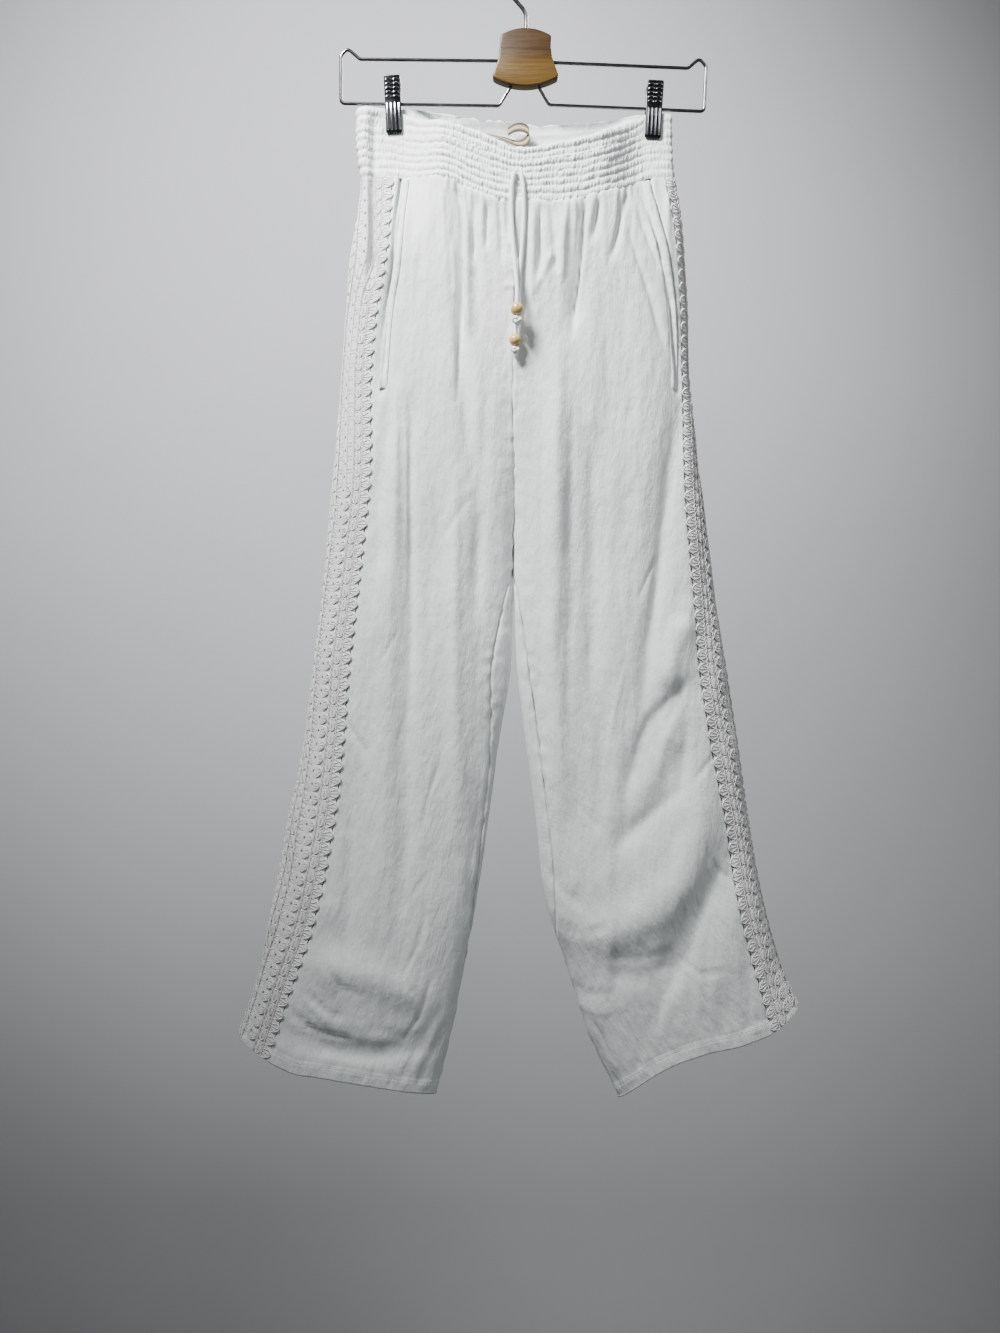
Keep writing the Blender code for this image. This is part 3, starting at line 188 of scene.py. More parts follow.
# ---- smaller creases, in the same way --------------------------------------------------------
CREASES = {
    "left": (
        (-2.0, 2.5, (-50, 241), (-52, 273), (-53, 304)), (-1.8, 2.2, (-39, 249), (-40, 292)),
        (-1.6, 2.2, (-26, 243), (-24, 304)), (-1.6, 2.0, (-19, 242), (-18, 283)),
        (-1.6, 2.4, (-69, 234), (-63, 245), (-62, 297), (-66, 324), (-67, 439)),
        (1.0, 3.0, (-72, 283), (-70, 341)), (1.2, 3.5, (-57, 258), (-55, 371)),
        (-1.4, 2.2, (-121, 231), (-126, 271), (-128, 292), (-134, 322), (-138, 380), (-142, 434)),
        (-1.0, 7.0, (-136, 310), (-142, 371), (-140, 427)),
        (-2.6, 8.0, (-132, 444), (-142, 507), (-147, 551)), (1.6, 4.0, (-129, 439), (-129, 595)),
        (1.2, 2.5, (-118, 439), (-118, 634)), (-1.6, 3.0, (-113, 458), (-113, 752)),
        (1.8, 6.0, (-70, 537), (-70, 791)), (-1.5, 6.0, (-46, 556), (-48, 732)),
        (2.2, 9.0, (-140, 595), (-145, 683)), (-0.9, 2.0, (-143, 693), (-124, 664)),
        (-0.9, 2.4, (-85, 576), (-50, 527)), (-1.3, 2.0, (-176, 754), (-157, 783)),
        (1.8, 7.0, (-138, 771), (-137, 947)), (-2.0, 4.0, (-171, 791), (-174, 986)),
        (-3.0, 11.0, (-206, 965), (-173, 969)), (2.2, 8.0, (-200, 931), (-182, 941)),
        (-2.2, 2.4, (-236, 1030), (-212, 1051), (-173, 1061)),
        (-1.6, 2.6, (-222, 1072), (-153, 1082), (-87, 1076)),
        (-1.6, 3.0, (-85, 1033), (-106, 1074), (-122, 1102)),
        (-1.6, 3.0, (-79, 1050), (-94, 1084), (-107, 1106)),
        (1.3, 3.0, (-81, 1041), (-100, 1079), (-114, 1100)),
        (-2.2, 3.6, (-151, 212), (-151, 262), (-152, 318)),
        (-2.0, 1.8, (-68, 228), (-64, 262), (-64, 310), (-63, 385)),
        (1.9, 2.6, (-62, 236), (-58, 270), (-58, 330), (-56, 380)),
        (-3.2, 9.0, (-178, 830), (-170, 905), (-163, 985)),
        (-2.0, 6.0, (-206, 1062), (-170, 1078), (-130, 1082)),
        (1.2, 2.6, (-196, 1050), (-160, 1062), (-120, 1066)),
        (-1.3, 2.4, (-150, 1052), (-120, 1062), (-96, 1058)),
        (1.4, 2.4, (-158, 214), (-158, 262), (-160, 330)),
        (-1.6, 2.2, (-232, 1040), (-205, 1056), (-168, 1064)),
        (-1.4, 2.0, (-214, 1018), (-196, 1036), (-176, 1044)),
        (1.2, 2.2, (-218, 1026), (-194, 1044), (-160, 1050)),
        (-1.4, 2.0, (-92, 1000), (-104, 1040), (-122, 1066)),
        (-1.2, 1.8, (-98, 940), (-106, 972), (-120, 1000)), (-1.2, 1.8, (-100, 905), (-112, 925)),
        (-1.2, 2.0, (-196, 990), (-180, 1012), (-160, 1020)),
        (-1.4, 1.8, (-86, 796), (-97, 830), (-103, 858)),
        (1.1, 2.3, (-150, 900), (-146, 950), (-138, 990)),
        (-1.2, 2.0, (-128, 985), (-118, 1010), (-104, 1020)),
        (1.2, 2.4, (-14, 360), (-14, 480), (-14, 575))),
    "right": (
        (1.6, 3.0, (6, 253), (5, 341)), (-1.6, 2.4, (13, 249), (14, 327)),
        (-1.5, 2.4, (25, 248), (29, 314)), (1.4, 3.2, (35, 255), (34, 322)),
        (-1.5, 2.4, (55, 255), (52, 292), (50, 331), (45, 375)), (1.2, 3.0, (26, 292), (8, 333)),
        (-1.6, 2.6, (72, 241), (64, 284)), (-1.8, 3.0, (99, 230), (91, 268), (82, 304)),
        (-2.6, 2.4, (112, 228), (123, 253), (132, 292), (142, 341), (150, 429)),
        (-1.3, 2.5, (111, 253), (130, 304)), (1.2, 2.5, (123, 265), (141, 333)),
        (-1.2, 3.0, (101, 275), (121, 333), (137, 390)),
        (1.6, 6.0, (28, 439), (28, 595), (25, 732)), (-1.3, 3.0, (14, 458), (14, 722)),
        (-1.3, 4.0, (44, 458), (42, 722)), (-1.8, 6.0, (64, 468), (63, 752)),
        (-3.2, 6.0, (152, 439), (142, 507), (132, 595), (121, 674), (116, 732)),
        (-1.4, 1.8, (126, 595), (108, 636)), (3.0, 8.0, (152, 649), (147, 683), (140, 721)),
        (-3.6, 3.4, (160, 713), (140, 732), (121, 752), (111, 773), (97, 830)),
        (2.2, 3.2, (159, 725), (136, 771), (126, 810)),
        (-2.8, 4.0, (160, 744), (150, 820), (121, 845), (84, 879)),
        (-1.6, 2.0, (184, 786), (165, 810)),
        (2.2, 8.0, (175, 803), (171, 889), (150, 928), (111, 960), (72, 970), (35, 965)),
        (-2.2, 3.0, (77, 984), (111, 985), (150, 973)),
        (-2.2, 8.0, (42, 912), (62, 941), (80, 914)),
        (-3.2, 5.0, (194, 891), (171, 938), (160, 977), (132, 1026), (113, 1065)),
        (2.2, 9.0, (207, 918), (197, 986), (174, 1043)),
        (-1.6, 6.0, (105, 776), (99, 830), (91, 861)),
        (-1.6, 1.8, (58, 236), (53, 300), (46, 356)), (1.6, 2.4, (63, 240), (58, 300), (51, 350)),
        (-1.2, 1.8, (12, 250), (12, 285), (10, 320)),
        (-3.0, 8.0, (158, 930), (140, 985), (118, 1030)),
        (2.0, 5.0, (176, 940), (160, 990), (140, 1034)),
        (-1.6, 2.2, (24, 900), (36, 922), (56, 934)), (-1.4, 2.0, (30, 952), (52, 960), (84, 952)),
        (-1.6, 2.0, (38, 1010), (60, 1022), (92, 1018)),
        (1.2, 2.2, (44, 1030), (70, 1040), (100, 1030)),
        (-1.4, 2.0, (150, 985), (170, 1000), (196, 996)),
        (-1.4, 1.8, (176, 880), (190, 902), (208, 910)),
        (-1.6, 2.2, (120, 1000), (132, 1030), (128, 1056)),
        (-1.2, 1.8, (60, 1046), (74, 1062), (82, 1084)),
        (1.1, 2.3, (96, 700), (84, 752), (78, 800)), (-1.2, 1.8, (40, 800), (52, 836), (70, 858)),
        (1.2, 2.4, (-12, 360), (-12, 480), (-12, 575))),
}


# height, and the spacing of its hills across and down the cloth
WAVES = ((0.0011, 0.016, 0.110), (0.0007, 0.008, 0.045), (0.00025, 0.0042, 0.014))


# ---- smooth values ---------------------------------------------------------------------------

def ease(value, start, end):
    """0 before start, 1 after end, and a soft rise between them."""
    share = np.clip((value - start) / (end - start), 0.0, 1.0)
    return share * share * (3.0 - 2.0 * share)


def window(value, opens, full, closes, shut):
    """A soft rise from opens to full, and a soft fall from closes to shut."""
    return ease(value, opens, full) * (1.0 - ease(value, closes, shut))


def hill(distance, width):
    """1 at no distance, falling softly to nothing beyond about twice the width."""
    return np.exp(-(distance / width) ** 2)


def arch(share, power=1.0):
    """0 at both ends of a share and 1 in its middle; a low power makes it blunter."""
    return np.sin(math.pi * share) ** power


def unit(vectors):
    """Vectors brought to length 1."""
    return vectors / np.maximum(np.linalg.norm(vectors, axis=-1, keepdims=True), 1e-12)


def run_length(points):
    """Distance along lines of points, which are (..., points, axes)."""
    steps = np.linalg.norm(np.diff(points, axis=-2), axis=-1)
    return np.concatenate([np.zeros_like(steps[..., :1]), np.cumsum(steps, axis=-1)], axis=-1)


def smooth_curve(knots, values, at):
    """A soft curve through a table's values."""
    slopes = np.gradient(values, knots)
    at = np.clip(at, knots[0], knots[-1])
    left = np.clip(np.searchsorted(knots, at) - 1, 0, len(knots) - 2)
    step = knots[left + 1] - knots[left]
    t = (at - knots[left]) / step
    rise = t * t * (3.0 - 2.0 * t)
    bend = slopes[left] * (1.0 - t) + slopes[left + 1] * -t
    return values[left] + (values[left + 1] - values[left]) * rise + bend * step * t * (1.0 - t)


def line_value(rows, at, column=1):
    """A table's column, read at places along its first column."""
    return smooth_curve(rows[:, 0], rows[:, column], np.asarray(at, float))


def row_value(half, column, drop):
    """A named column of a half's table at a drop."""
    return line_value(HALVES[half], drop, COLUMNS.index(column))


def smooth_route(points, count):
    """A smooth line of count points through a short list of places."""
    places = np.array(points, float)
    along = run_length(places)
    at = np.linspace(0.0, along[-1], count)
    return np.stack([smooth_curve(along, places[:, axis], at) for axis in range(3)], axis=1)


def soft_noise(u, v, seed):
    """Smooth uneven heights from -1 to 1, one hill or hollow for each unit of u and v."""
    table = np.random.default_rng(seed).uniform(-1.0, 1.0, (97, 89))
    i, j = np.floor(u).astype(int), np.floor(v).astype(int)
    across, down = ease(u - i, 0.0, 1.0), ease(v - j, 0.0, 1.0)
    near, far = (table[(i + k) % 97, j % 89] * (1 - down) + table[(i + k) % 97, (j + 1) % 89] * down
                 for k in (0, 1))
    return near * (1 - across) + far * across


# ---- the garment's surface -------------------------------------------------------------------

def path_relief(x, drop, height, width, path):
    """A soft ridge (or trough) along a path, faded at its ends."""
    spans = np.linalg.norm(np.diff(path, axis=0), axis=1)
    before = run_length(path)
    nearest = np.full(x.shape, 1.0)
    share = np.zeros_like(x)
    for start, end, span, done in zip(path[:-1], path[1:], spans, before[:-1]):
        way = (end - start) / span
        along = np.clip((x - start[0]) * way[0] + (drop - start[1]) * way[1], 0.0, span)
        aside = np.hypot(x - start[0] - way[0] * along, drop - start[1] - way[1] * along)
        closer = aside < nearest
        nearest = np.where(closer, aside, nearest)
        share = np.where(closer, (done + along) / before[-1], share)
    return height * hill(nearest, width) * window(share, -0.12, 0.22, 0.75, 1.12)


def fold_relief(half, face, x, drop):
    """How far the large folds push one face out (or in) at each place."""
    return sum(path_relief(x, drop, height / 1000, width / 1000, np.array(path) / 1000)
               for height, width, *path in FOLDS[half, face])


def clip_hold(half, x, drop):
    """1 where the clip presses the cloth flat, falling to 0 away from it."""
    aside = (x - CLIP_X[half]) * -TURN[half]
    across = 1.0 - np.where(aside > 0.0, ease(aside, 0.010, 0.038), ease(-aside, 0.010, 0.056))
    return across * (1.0 - ease(drop, 0.172, 0.300))


def face_points(half, face, drop):
    """Points of one face, row by row from the side fold to the centre or inner fold."""
    side = -1.0 if face == "front" else 1.0
    outer = row_value(half, "outer", drop[:, :1])
    inner = row_value(half, "inner", drop[:, -1:]) - TURN[half] * SEAM_GAP / 2
    x = outer + (inner - outer) * SHARE
    middle = 1.0 - 0.5 * ease(drop, 0.300, 0.620)
    near = np.clip(SHARE / middle, 0.0, 1.0)
    far = np.clip((SHARE - middle) / np.maximum(1.0 - middle, 1e-6), 0.0, 1.0)
    closing = ease(drop, 0.360, CROTCH)
    blunt = 6.0 - 3.0 * ease(drop, 0.450, 0.750)
    plump = (np.sqrt(1.0 - (1.0 - near) ** 3)
             * np.sqrt(np.maximum(1.0 - closing * far ** blunt, 0.0)))
    fold = row_value(half, "fold", drop)
    y = fold + (row_value(half, face, drop) - fold) * plump
    y = y + side * fold_relief(half, face, x, drop) * ease(plump, 0.15, 0.60)
    edge = np.clip(np.abs(x - outer) / SIDE_ROUND, 0.0, 1.0)
    held = side * GRIP_HALF * np.sqrt(1.0 - (1.0 - edge) ** 2)
    hold = clip_hold(half, x, drop)
    return np.stack([x, y * (1.0 - hold) + held * hold, -drop], axis=-1)


def section(half, drops):
    """Fine sections: centre front, side fold, centre back."""
    front, back = (face_points(half, face, drops[face]) for face in FACES)
    return np.concatenate([front[:, ::-1], back[:, 1:]], axis=1)


def band_drops(half, v):
    """Heights round sections of the waistband; v runs 0 to 1 down it."""
    outer, inner = (row_value(half, edge, WAIST_LINE) for edge in ("outer", "inner"))
    x = outer + (inner - outer) * SHARE
    drops = {}
    for face in FACES:
        top = line_value(BAND_TOP[face], x)
        drops[face] = top + (line_value(BAND_FOOT[face], x) - top) * np.reshape(v, (-1, 1))
    return drops


def leg_drops(half, levels):
    """Heights round sections of the panels, which follow the waistband and the hem."""
    level = np.reshape(levels, (-1, 1))
    waist = band_drops(half, 1.0)
    hem_level = HEM_LINE[half][0, 1]
    near_waist = 1.0 - ease(level, WAIST_LINE, 0.360)
    near_hem = ease(level, hem_level - 0.300, hem_level)
    dip = (line_value(HEM_LINE[half], SHARE) - hem_level) * near_hem
    return {face: level + (waist[face] - WAIST_LINE) * near_waist + dip for face in FACES}


def leg_levels(half):
    """The rows of the panels' fine surfaces, closest together in the turned hem."""
    hem_level = HEM_LINE[half][0, 1]
    return np.concatenate([np.arange(WAIST_LINE, 0.360, 0.0023),
                           np.arange(0.360, hem_level - 0.020, PANEL_STEP),
                           np.linspace(hem_level - 0.020, hem_level, 18)])


def spread_rows(grid, along, at):
    """A fine grid's values at the given distances along each of its rows."""
    return np.stack([np.stack([np.interp(at[k], along[k], row) for row in grid[k].T], axis=-1)
                     for k in range(len(grid))])


class Half:
    """One half of the garment: fine sections, their normals and where the seams cross them."""

    def __init__(self, half):
        self.half = half
        self.levels = leg_levels(half)
        self.hem_level = HEM_LINE[half][0, 1]
        drops = leg_drops(half, self.levels)
        plain = section(half, drops)
        below = section(half, leg_drops(half, self.levels + 0.001))
        for face in FACES:
            drops[face][0] += WAIST_GAP
        points = section(half, drops)
        normals = unit(TURN[half] * np.cross(np.gradient(points, axis=1), below - plain))
        along = run_length(points)
        closed = self.levels > CROTCH - 1e-6
        front_x = points[:, :FINE, 0] * -TURN[half]

        def crossing(column):
            """How far along each section a seam crosses it."""
            places = row_value(half, column, self.levels) * -TURN[half]
            return np.array([np.interp(*row) for row in zip(places, front_x, along[:, :FINE])])

        lace = crossing("lace")
        seam = np.where(closed, crossing("seam"), 0.0)
        gap = SEAM_GAP / 2
        self.points = np.concatenate([points, points[:, 1:FINE]], axis=1)
        self.normals = np.concatenate([normals, normals[:, 1:FINE]], axis=1)
        self.along = np.concatenate([along, along[:, -1:] + along[:, 1:FINE]], axis=1)
        self.spans = {
            "front": (seam + gap * closed, lace - gap),
            "lace": (lace + gap, lace + LACE_WIDTH - gap),
            "back": (lace + LACE_WIDTH + gap, along[:, -1] + seam - gap * closed),
        }

    def grid(self, at):
        """Points and normals at distances along each row, with all their creases."""
        points = spread_rows(self.points, self.along, at)
        normals = unit(spread_rows(self.normals, self.along, at))
        return points + normals * crease_relief(self.half, points, normals)[..., None], normals

    def columns(self, piece, count):
        """Distances of a panel's columns; the front's are closer together beside the lace."""
        start, end = self.spans[piece]
        share = np.linspace(0.0, 1.0, count)
        if piece == "front":
            share = share + 0.30 * share * (1.0 - share)
        return start[:, None] + (end - start)[:, None] * share


def gather_relief(half, face, x, drop):
    """The pleats that run down from the waistband's gathers and die out."""
    below = drop - line_value(BAND_FOOT[face], x)
    rng = np.random.default_rng({"left": 11, "right": 12}[half] + 10 * (face == "back"))
    low, high = sorted(row_value(half, edge, WAIST_LINE) for edge in ("outer", "inner"))
    relief = np.zeros_like(x)
    place = low + 0.004
    while place < high - 0.003:
        reach = rng.choice((0.009, 0.016, 0.030, 0.060))
        height = rng.uniform(0.0014, 0.0028) * (1.0 + 5.0 * reach)
        width = rng.uniform(0.0018, 0.0030) * (1.0 + 4.0 * reach)
        lean = rng.uniform(-0.10, 0.10)
        fade = np.exp(-(np.maximum(below, 0.0) / reach) ** 1.4)
        relief += height * hill(x - place - lean * below, width) * fade
        place += rng.uniform(0.0046, 0.0078)
    return relief * ease(below, -0.004, 0.003)


def back_relief(half, x, drop):
    """Long loose creases of the side that the photograph doesn't show, from a few rules."""
    rng = np.random.default_rng({"left": 31, "right": 32}[half])
    relief = gather_relief(half, "back", x, drop)
    for k in range(15):
        start = 0.24 + 0.052 * k + rng.uniform(-0.02, 0.02)
        inner, outer = row_value(half, "inner", start), row_value(half, "outer", start)
        share = rng.uniform(0.12, 0.90)
        top = inner + (outer - inner) * share
        end = min(start + rng.uniform(0.06, 0.20), 1.03)
        slide = (row_value(half, "outer", end) - outer) * share + rng.uniform(-0.012, 0.012)
        height = 1.5 * rng.choice((-0.0022, -0.0016, 0.0015, 0.0020))
        width = rng.uniform(0.0025, 0.0060)
        path = ((top, start), (top + 0.4 * slide, (start + end) / 2), (top + slide, end))
        relief += path_relief(x, drop, height, width, np.array(path))
    return relief


def crease_relief(half, points, normals):
    """Everything that stands out of the large form: gathers, creases and the cloth's waves."""
    x, drop = points[..., 0], -points[..., 2]
    front, back = ease(-normals[..., 1], 0.05, 0.55), ease(normals[..., 1], 0.05, 0.55)
    facing = gather_relief(half, "front", x, drop)
    for height, width, *path in CREASES[half]:
        path = np.array(path) / 1000
        upper = 1.0 - ease(path[0, 1], 0.30, 0.40)
        height *= LOW_CREASE_DEPTH + (CREASE_DEPTH - LOW_CREASE_DEPTH) * upper
        if width > 2.3:
            low = ease(path[0, 1], 0.55, 0.68)
            height *= 1.0 - 0.55 * low
            width *= 1.0 + 0.45 * low
        facing += path_relief(x, drop, height / 1000, width / 1000, path)
    seed = {"left": 51, "right": 61}[half]
    waves = sum(height * soft_noise(x / across + 40, drop / down, seed + k)
                for k, (height, across, down) in enumerate(WAVES))
    waves *= ease(drop - line_value(BAND_FOOT["back"], x), 0.004, 0.050)
    relief = facing * front + back_relief(half, x, drop) * back + waves * np.maximum(front, back)
    return relief * (1.0 - clip_hold(half, x, drop))


# ---- finishes --------------------------------------------------------------------------------

class Finish:
    """A material, with short ways to add nodes and to feed its shader."""

    def __init__(self, name, colour, roughness, **others):
        self.material = bpy.data.materials.new(name)
        self.material.use_nodes = True
        self.tree = self.material.node_tree
        self.shader = self.tree.nodes["Principled BSDF"]
        values = {"base_color": (*colour, 1.0), "roughness": roughness, **others}
        for name, value in values.items():
            self.shader.inputs[name.replace("_", " ").title()].default_value = value

    def node(self, kind, inputs=(), **settings):
        """Add a node; an input is given a value or another node's output."""
        made = self.tree.nodes.new(kind)
        for name, value in settings.items():
            setattr(made, name, value)
        for name, value in dict(inputs).items():
            if isinstance(value, bpy.types.NodeSocket):
                self.tree.links.new(value, made.inputs[name])
            else:
                made.inputs[name].default_value = value
        return made

    def coordinates(self, source, scale=(1.0, 1.0, 1.0), turn=0.0):
        """Object or UV coordinates, scaled and turned about Z by degrees."""
        if source == "OBJECT":
            place = self.node("ShaderNodeTexCoord").outputs["Object"]
        else:
            place = self.node("ShaderNodeUVMap", uv_map=source).outputs["UV"]
        return self.node("ShaderNodeMapping", {
            "Vector": place, "Scale": scale, "Rotation": (0.0, 0.0, math.radians(turn)),
        }).outputs["Vector"]

    def axis(self, place, name):
        """One coordinate of a place."""
        return self.node("ShaderNodeSeparateXYZ", {"Vector": place}).outputs[name]

    def noise(self, place, scale, detail=2.0, rough=0.55):
        """Soft random cloud, 0 to 1."""
        return self.node("ShaderNodeTexNoise", {
            "Vector": place, "Scale": scale, "Detail": detail, "Roughness": rough,
        }).outputs["Fac"]

    def bands(self, place, pitch, axis="Y", bend=0.0):
        """Even bands, one for each pitch (in the coordinates' own units)."""
        return self.node("ShaderNodeTexWave", {
            "Vector": place, "Scale": math.pi / (10.0 * pitch), "Distortion": bend,
        }, bands_direction=axis).outputs["Fac"]

    def weave(self, place, pitch, bend=0.0):
        """Bands both ways, each thinning the other."""
        return self.maths("MULTIPLY", *(self.bands(place, pitch, axis, bend) for axis in "XY"))

    def maths(self, operation, first, second=0.5):
        """One step of arithmetic."""
        return self.node("ShaderNodeMath", {0: first, 1: second},
                         operation=operation).outputs["Value"]

    def weigh(self, first, share, second, other):
        """Two values, each times its share, added."""
        return self.maths("ADD", self.maths("MULTIPLY", first, share),
                          self.maths("MULTIPLY", second, other))

    def ramp(self, factor, *stops):
        """Colours along a factor: each stop is (place, colour)."""
        made = self.node("ShaderNodeValToRGB", {"Fac": factor})
        steps = made.color_ramp.elements
        while len(steps) < len(stops):
            steps.new(0.5)
        for step, (place, colour) in zip(steps, stops):
            step.position = place
            step.color = (*colour, 1.0)
        return made.outputs["Color"]

    def feed(self, socket, source):
        self.tree.links.new(source, self.shader.inputs[socket])

    def paint(self, factor, *stops):
        """Colour the whole surface by a ramp."""
        self.feed("Base Color", self.ramp(factor, *stops))

    def bump(self, *layers):
        """Relief from layers of (height, distance in metres), laid over each other."""
        under = {}
        for height, distance in layers:
            made = self.node("ShaderNodeBump", {"Height": height, "Distance": distance, **under})
            under = {"Normal": made.outputs["Normal"]}
        self.feed("Normal", made.outputs["Normal"])


def gauze_finish():
    """White cotton gauze: an open plain weave with a faint upright crinkle, and painted shade in
    its hollows.
    """
    gauze = Finish("white gauze", (0.83, 0.83, 0.825), 0.88, sheen_weight=0.12)
    flat = gauze.coordinates("cloth")
    cloud = gauze.noise(flat, 9.0, 4.0)
    crinkle = gauze.noise(gauze.coordinates("cloth", (1.0, 0.16, 1.0)), 420.0, 3.0, 0.6)
    slub = gauze.noise(gauze.coordinates("cloth", (0.05, 1.0, 1.0)), 900.0)
    rumple = gauze.noise(gauze.coordinates("cloth", (1.0, 0.4, 1.0)), 130.0, 5.0, 0.6)
    # colour: the cloud's uneven tone, plus painted shade that darkens the crinkle's hollows
    gauze.paint(gauze.weigh(cloud, 0.6, crinkle, 0.4),
                (0.30, (0.770, 0.798, 0.790)), (0.65, (0.822, 0.850, 0.842)))
    gauze.bump((rumple, 0.0018), (gauze.weave(flat, 0.0009, 0.6), 0.00012), (slub, 0.00012),
               (crinkle, 0.00028))
    return gauze.material


def shirring_finish():
    """The same gauze drawn up tight: finer, sharper crinkle between the gathers, with painted shade
    in its hollows.
    """
    cloth = Finish("shirred gauze", (0.85, 0.85, 0.845), 0.88, sheen_weight=0.12)
    crinkle = cloth.noise(cloth.coordinates("cloth", (1.0, 0.22, 1.0)), 620.0, 4.0, 0.65)
    # painted shade: the crinkle that makes the bump also darkens the colour in its hollows
    cloth.paint(crinkle, (0.30, (0.775, 0.80, 0.793)), (0.60, (0.842, 0.870, 0.862)))
    cloth.bump((crinkle, 0.00090))
    return cloth.material


def net_finish():
    """The lace's worked ground: fine net with painted shade in its small meshes between the
    threads.
    """
    net = Finish("crochet ground", (0.82, 0.82, 0.80), 0.9, sheen_weight=0.10)
    flat = net.coordinates("lace")
    mesh = net.weave(net.coordinates("lace", turn=45), 0.0012)
    height = net.weigh(mesh, 0.6, net.bands(flat, 0.0011, bend=1.5), 0.4)
    uneven = net.noise(flat, 700.0, 3.0)
    # painted shade: the low parts of the mesh pattern, the meshes between the threads, are darker
    net.paint(net.weigh(height, 0.75, uneven, 0.45), (0.16, (0.69, 0.710, 0.705)),
              (0.42, (0.835, 0.855, 0.848)), (0.80, (0.89, 0.89, 0.88)))
    net.bump((height, 0.0005), (uneven, 0.0002))
    return net.material


def thread_finish(name, pitch):
    """Twisted cotton thread: slanting plies with painted shade between them, and a little fuzz."""
    thread = Finish(name, (0.87, 0.87, 0.85), 0.85, sheen_weight=0.2)
    plies = thread.bands(thread.coordinates("thread", turn=35), pitch)
    fuzz = thread.noise(thread.coordinates("OBJECT"), 1800.0)
    # painted shade: the grooves between the plies are darker, with uneven tone from the fuzz
    thread.paint(thread.weigh(plies, 0.6, fuzz, 0.4),
                 (0.15, (0.74, 0.74, 0.72)), (0.60, (0.90, 0.90, 0.88)))
    thread.bump((plies, 0.00022), (fuzz, 0.00012))
    return thread.material


def cord_finish():
    """Soft braided cord: two sets of slanting strands, with painted shade between them."""
    cord = Finish("braided cord", (0.88, 0.88, 0.865), 0.85, sheen_weight=0.15)
    braid = cord.maths("MAXIMUM", *(cord.bands(cord.coordinates("thread", turn=slant), 0.0016)
                                    for slant in (40, -40)))
    fuzz = cord.noise(cord.coordinates("OBJECT"), 1500.0)
    # painted shade: the grooves between the strands are darker
    cord.paint(braid, (0.35, (0.82, 0.82, 0.81)), (0.80, (0.90, 0.90, 0.89)))
    cord.bump((braid, 0.00014), (fuzz, 0.0001))
    return cord.material


def bead_finish():
    """Turned light wood under clear lacquer: rings round the bore and short pores."""
    bead = Finish("lacquered bead", (0.56, 0.40, 0.20), 0.30, coat_weight=0.6,
                  coat_roughness=0.12)
    rings = bead.noise(bead.coordinates("OBJECT", (1.0, 1.0, 3.0)), 260.0)
    pores = bead.noise(bead.coordinates("OBJECT", (1.0, 1.0, 0.25)), 1400.0, 3.0)
    bead.paint(bead.weigh(rings, 0.55, pores, 0.45), (0.20, (0.44, 0.31, 0.115)),
               (0.55, (0.62, 0.46, 0.20)), (0.85, (0.66, 0.50, 0.28)))
    bead.feed("Roughness", bead.maths("ADD", bead.maths("MULTIPLY", pores, 0.25), 0.18))
    bead.bump((pores, 0.00006))
    return bead.material


def wood_finish():
    """Stained wood of the hanger's plate: level grain, darker towards its top."""
    wood = Finish("stained wood", (0.30, 0.19, 0.10), 0.42, coat_weight=0.20,
                  coat_roughness=0.25)
    streaks = wood.noise(wood.coordinates("OBJECT", (0.07, 0.6, 1.0)), 420.0, 5.0, 0.6)
    rings = wood.noise(wood.coordinates("OBJECT", (0.05, 0.5, 1.0)), 190.0)
    pores = wood.noise(wood.coordinates("OBJECT", (0.06, 1.0, 1.0)), 1500.0, 3.0)
    tone = wood.weigh(streaks, 0.55, rings, 0.35)
    light = wood.ramp(tone, (0.25, (0.085, 0.046, 0.008)), (0.50, (0.120, 0.068, 0.012)),
                      (0.80, (0.160, 0.096, 0.020)))
    dark = wood.ramp(tone, (0.25, (0.040, 0.018, 0.003)), (0.80, (0.072, 0.036, 0.007)))
    upper = wood.node("ShaderNodeMapRange", {
        "Value": wood.axis(wood.node("ShaderNodeTexCoord").outputs["Object"], "Z"),
        "From Min": -0.101, "From Max": -0.086}).outputs["Result"]
    both = wood.node("ShaderNodeMix", {"Factor": upper, 6: light, 7: dark}, data_type="RGBA")
    wood.feed("Base Color", both.outputs[2])
    wood.feed("Roughness", wood.maths("ADD", wood.maths("MULTIPLY", streaks, 0.3), 0.28))
    wood.bump((streaks, 0.0002), (pores, 0.0001))
    return wood.material


def metal_finish(name, colour, roughness):
    """Plated steel with faint drawn lines and handling marks."""
    metal = Finish(name, colour, roughness, metallic=1.0)
    marks = metal.noise(metal.coordinates("OBJECT"), 160.0, 5.0, 0.7)
    lines = metal.noise(metal.coordinates("OBJECT", (1.0, 1.0, 0.05)), 2600.0)
    worn = metal.maths("ADD", metal.maths("MULTIPLY", marks, 0.16), roughness - 0.05)
    metal.feed("Roughness", metal.maths("ADD", worn, metal.maths("MULTIPLY", lines, 0.06)))
    metal.paint(marks, (0.30, tuple(0.82 * c for c in colour)), (0.62, colour))
    metal.bump((lines, 0.00002))
    return metal.material


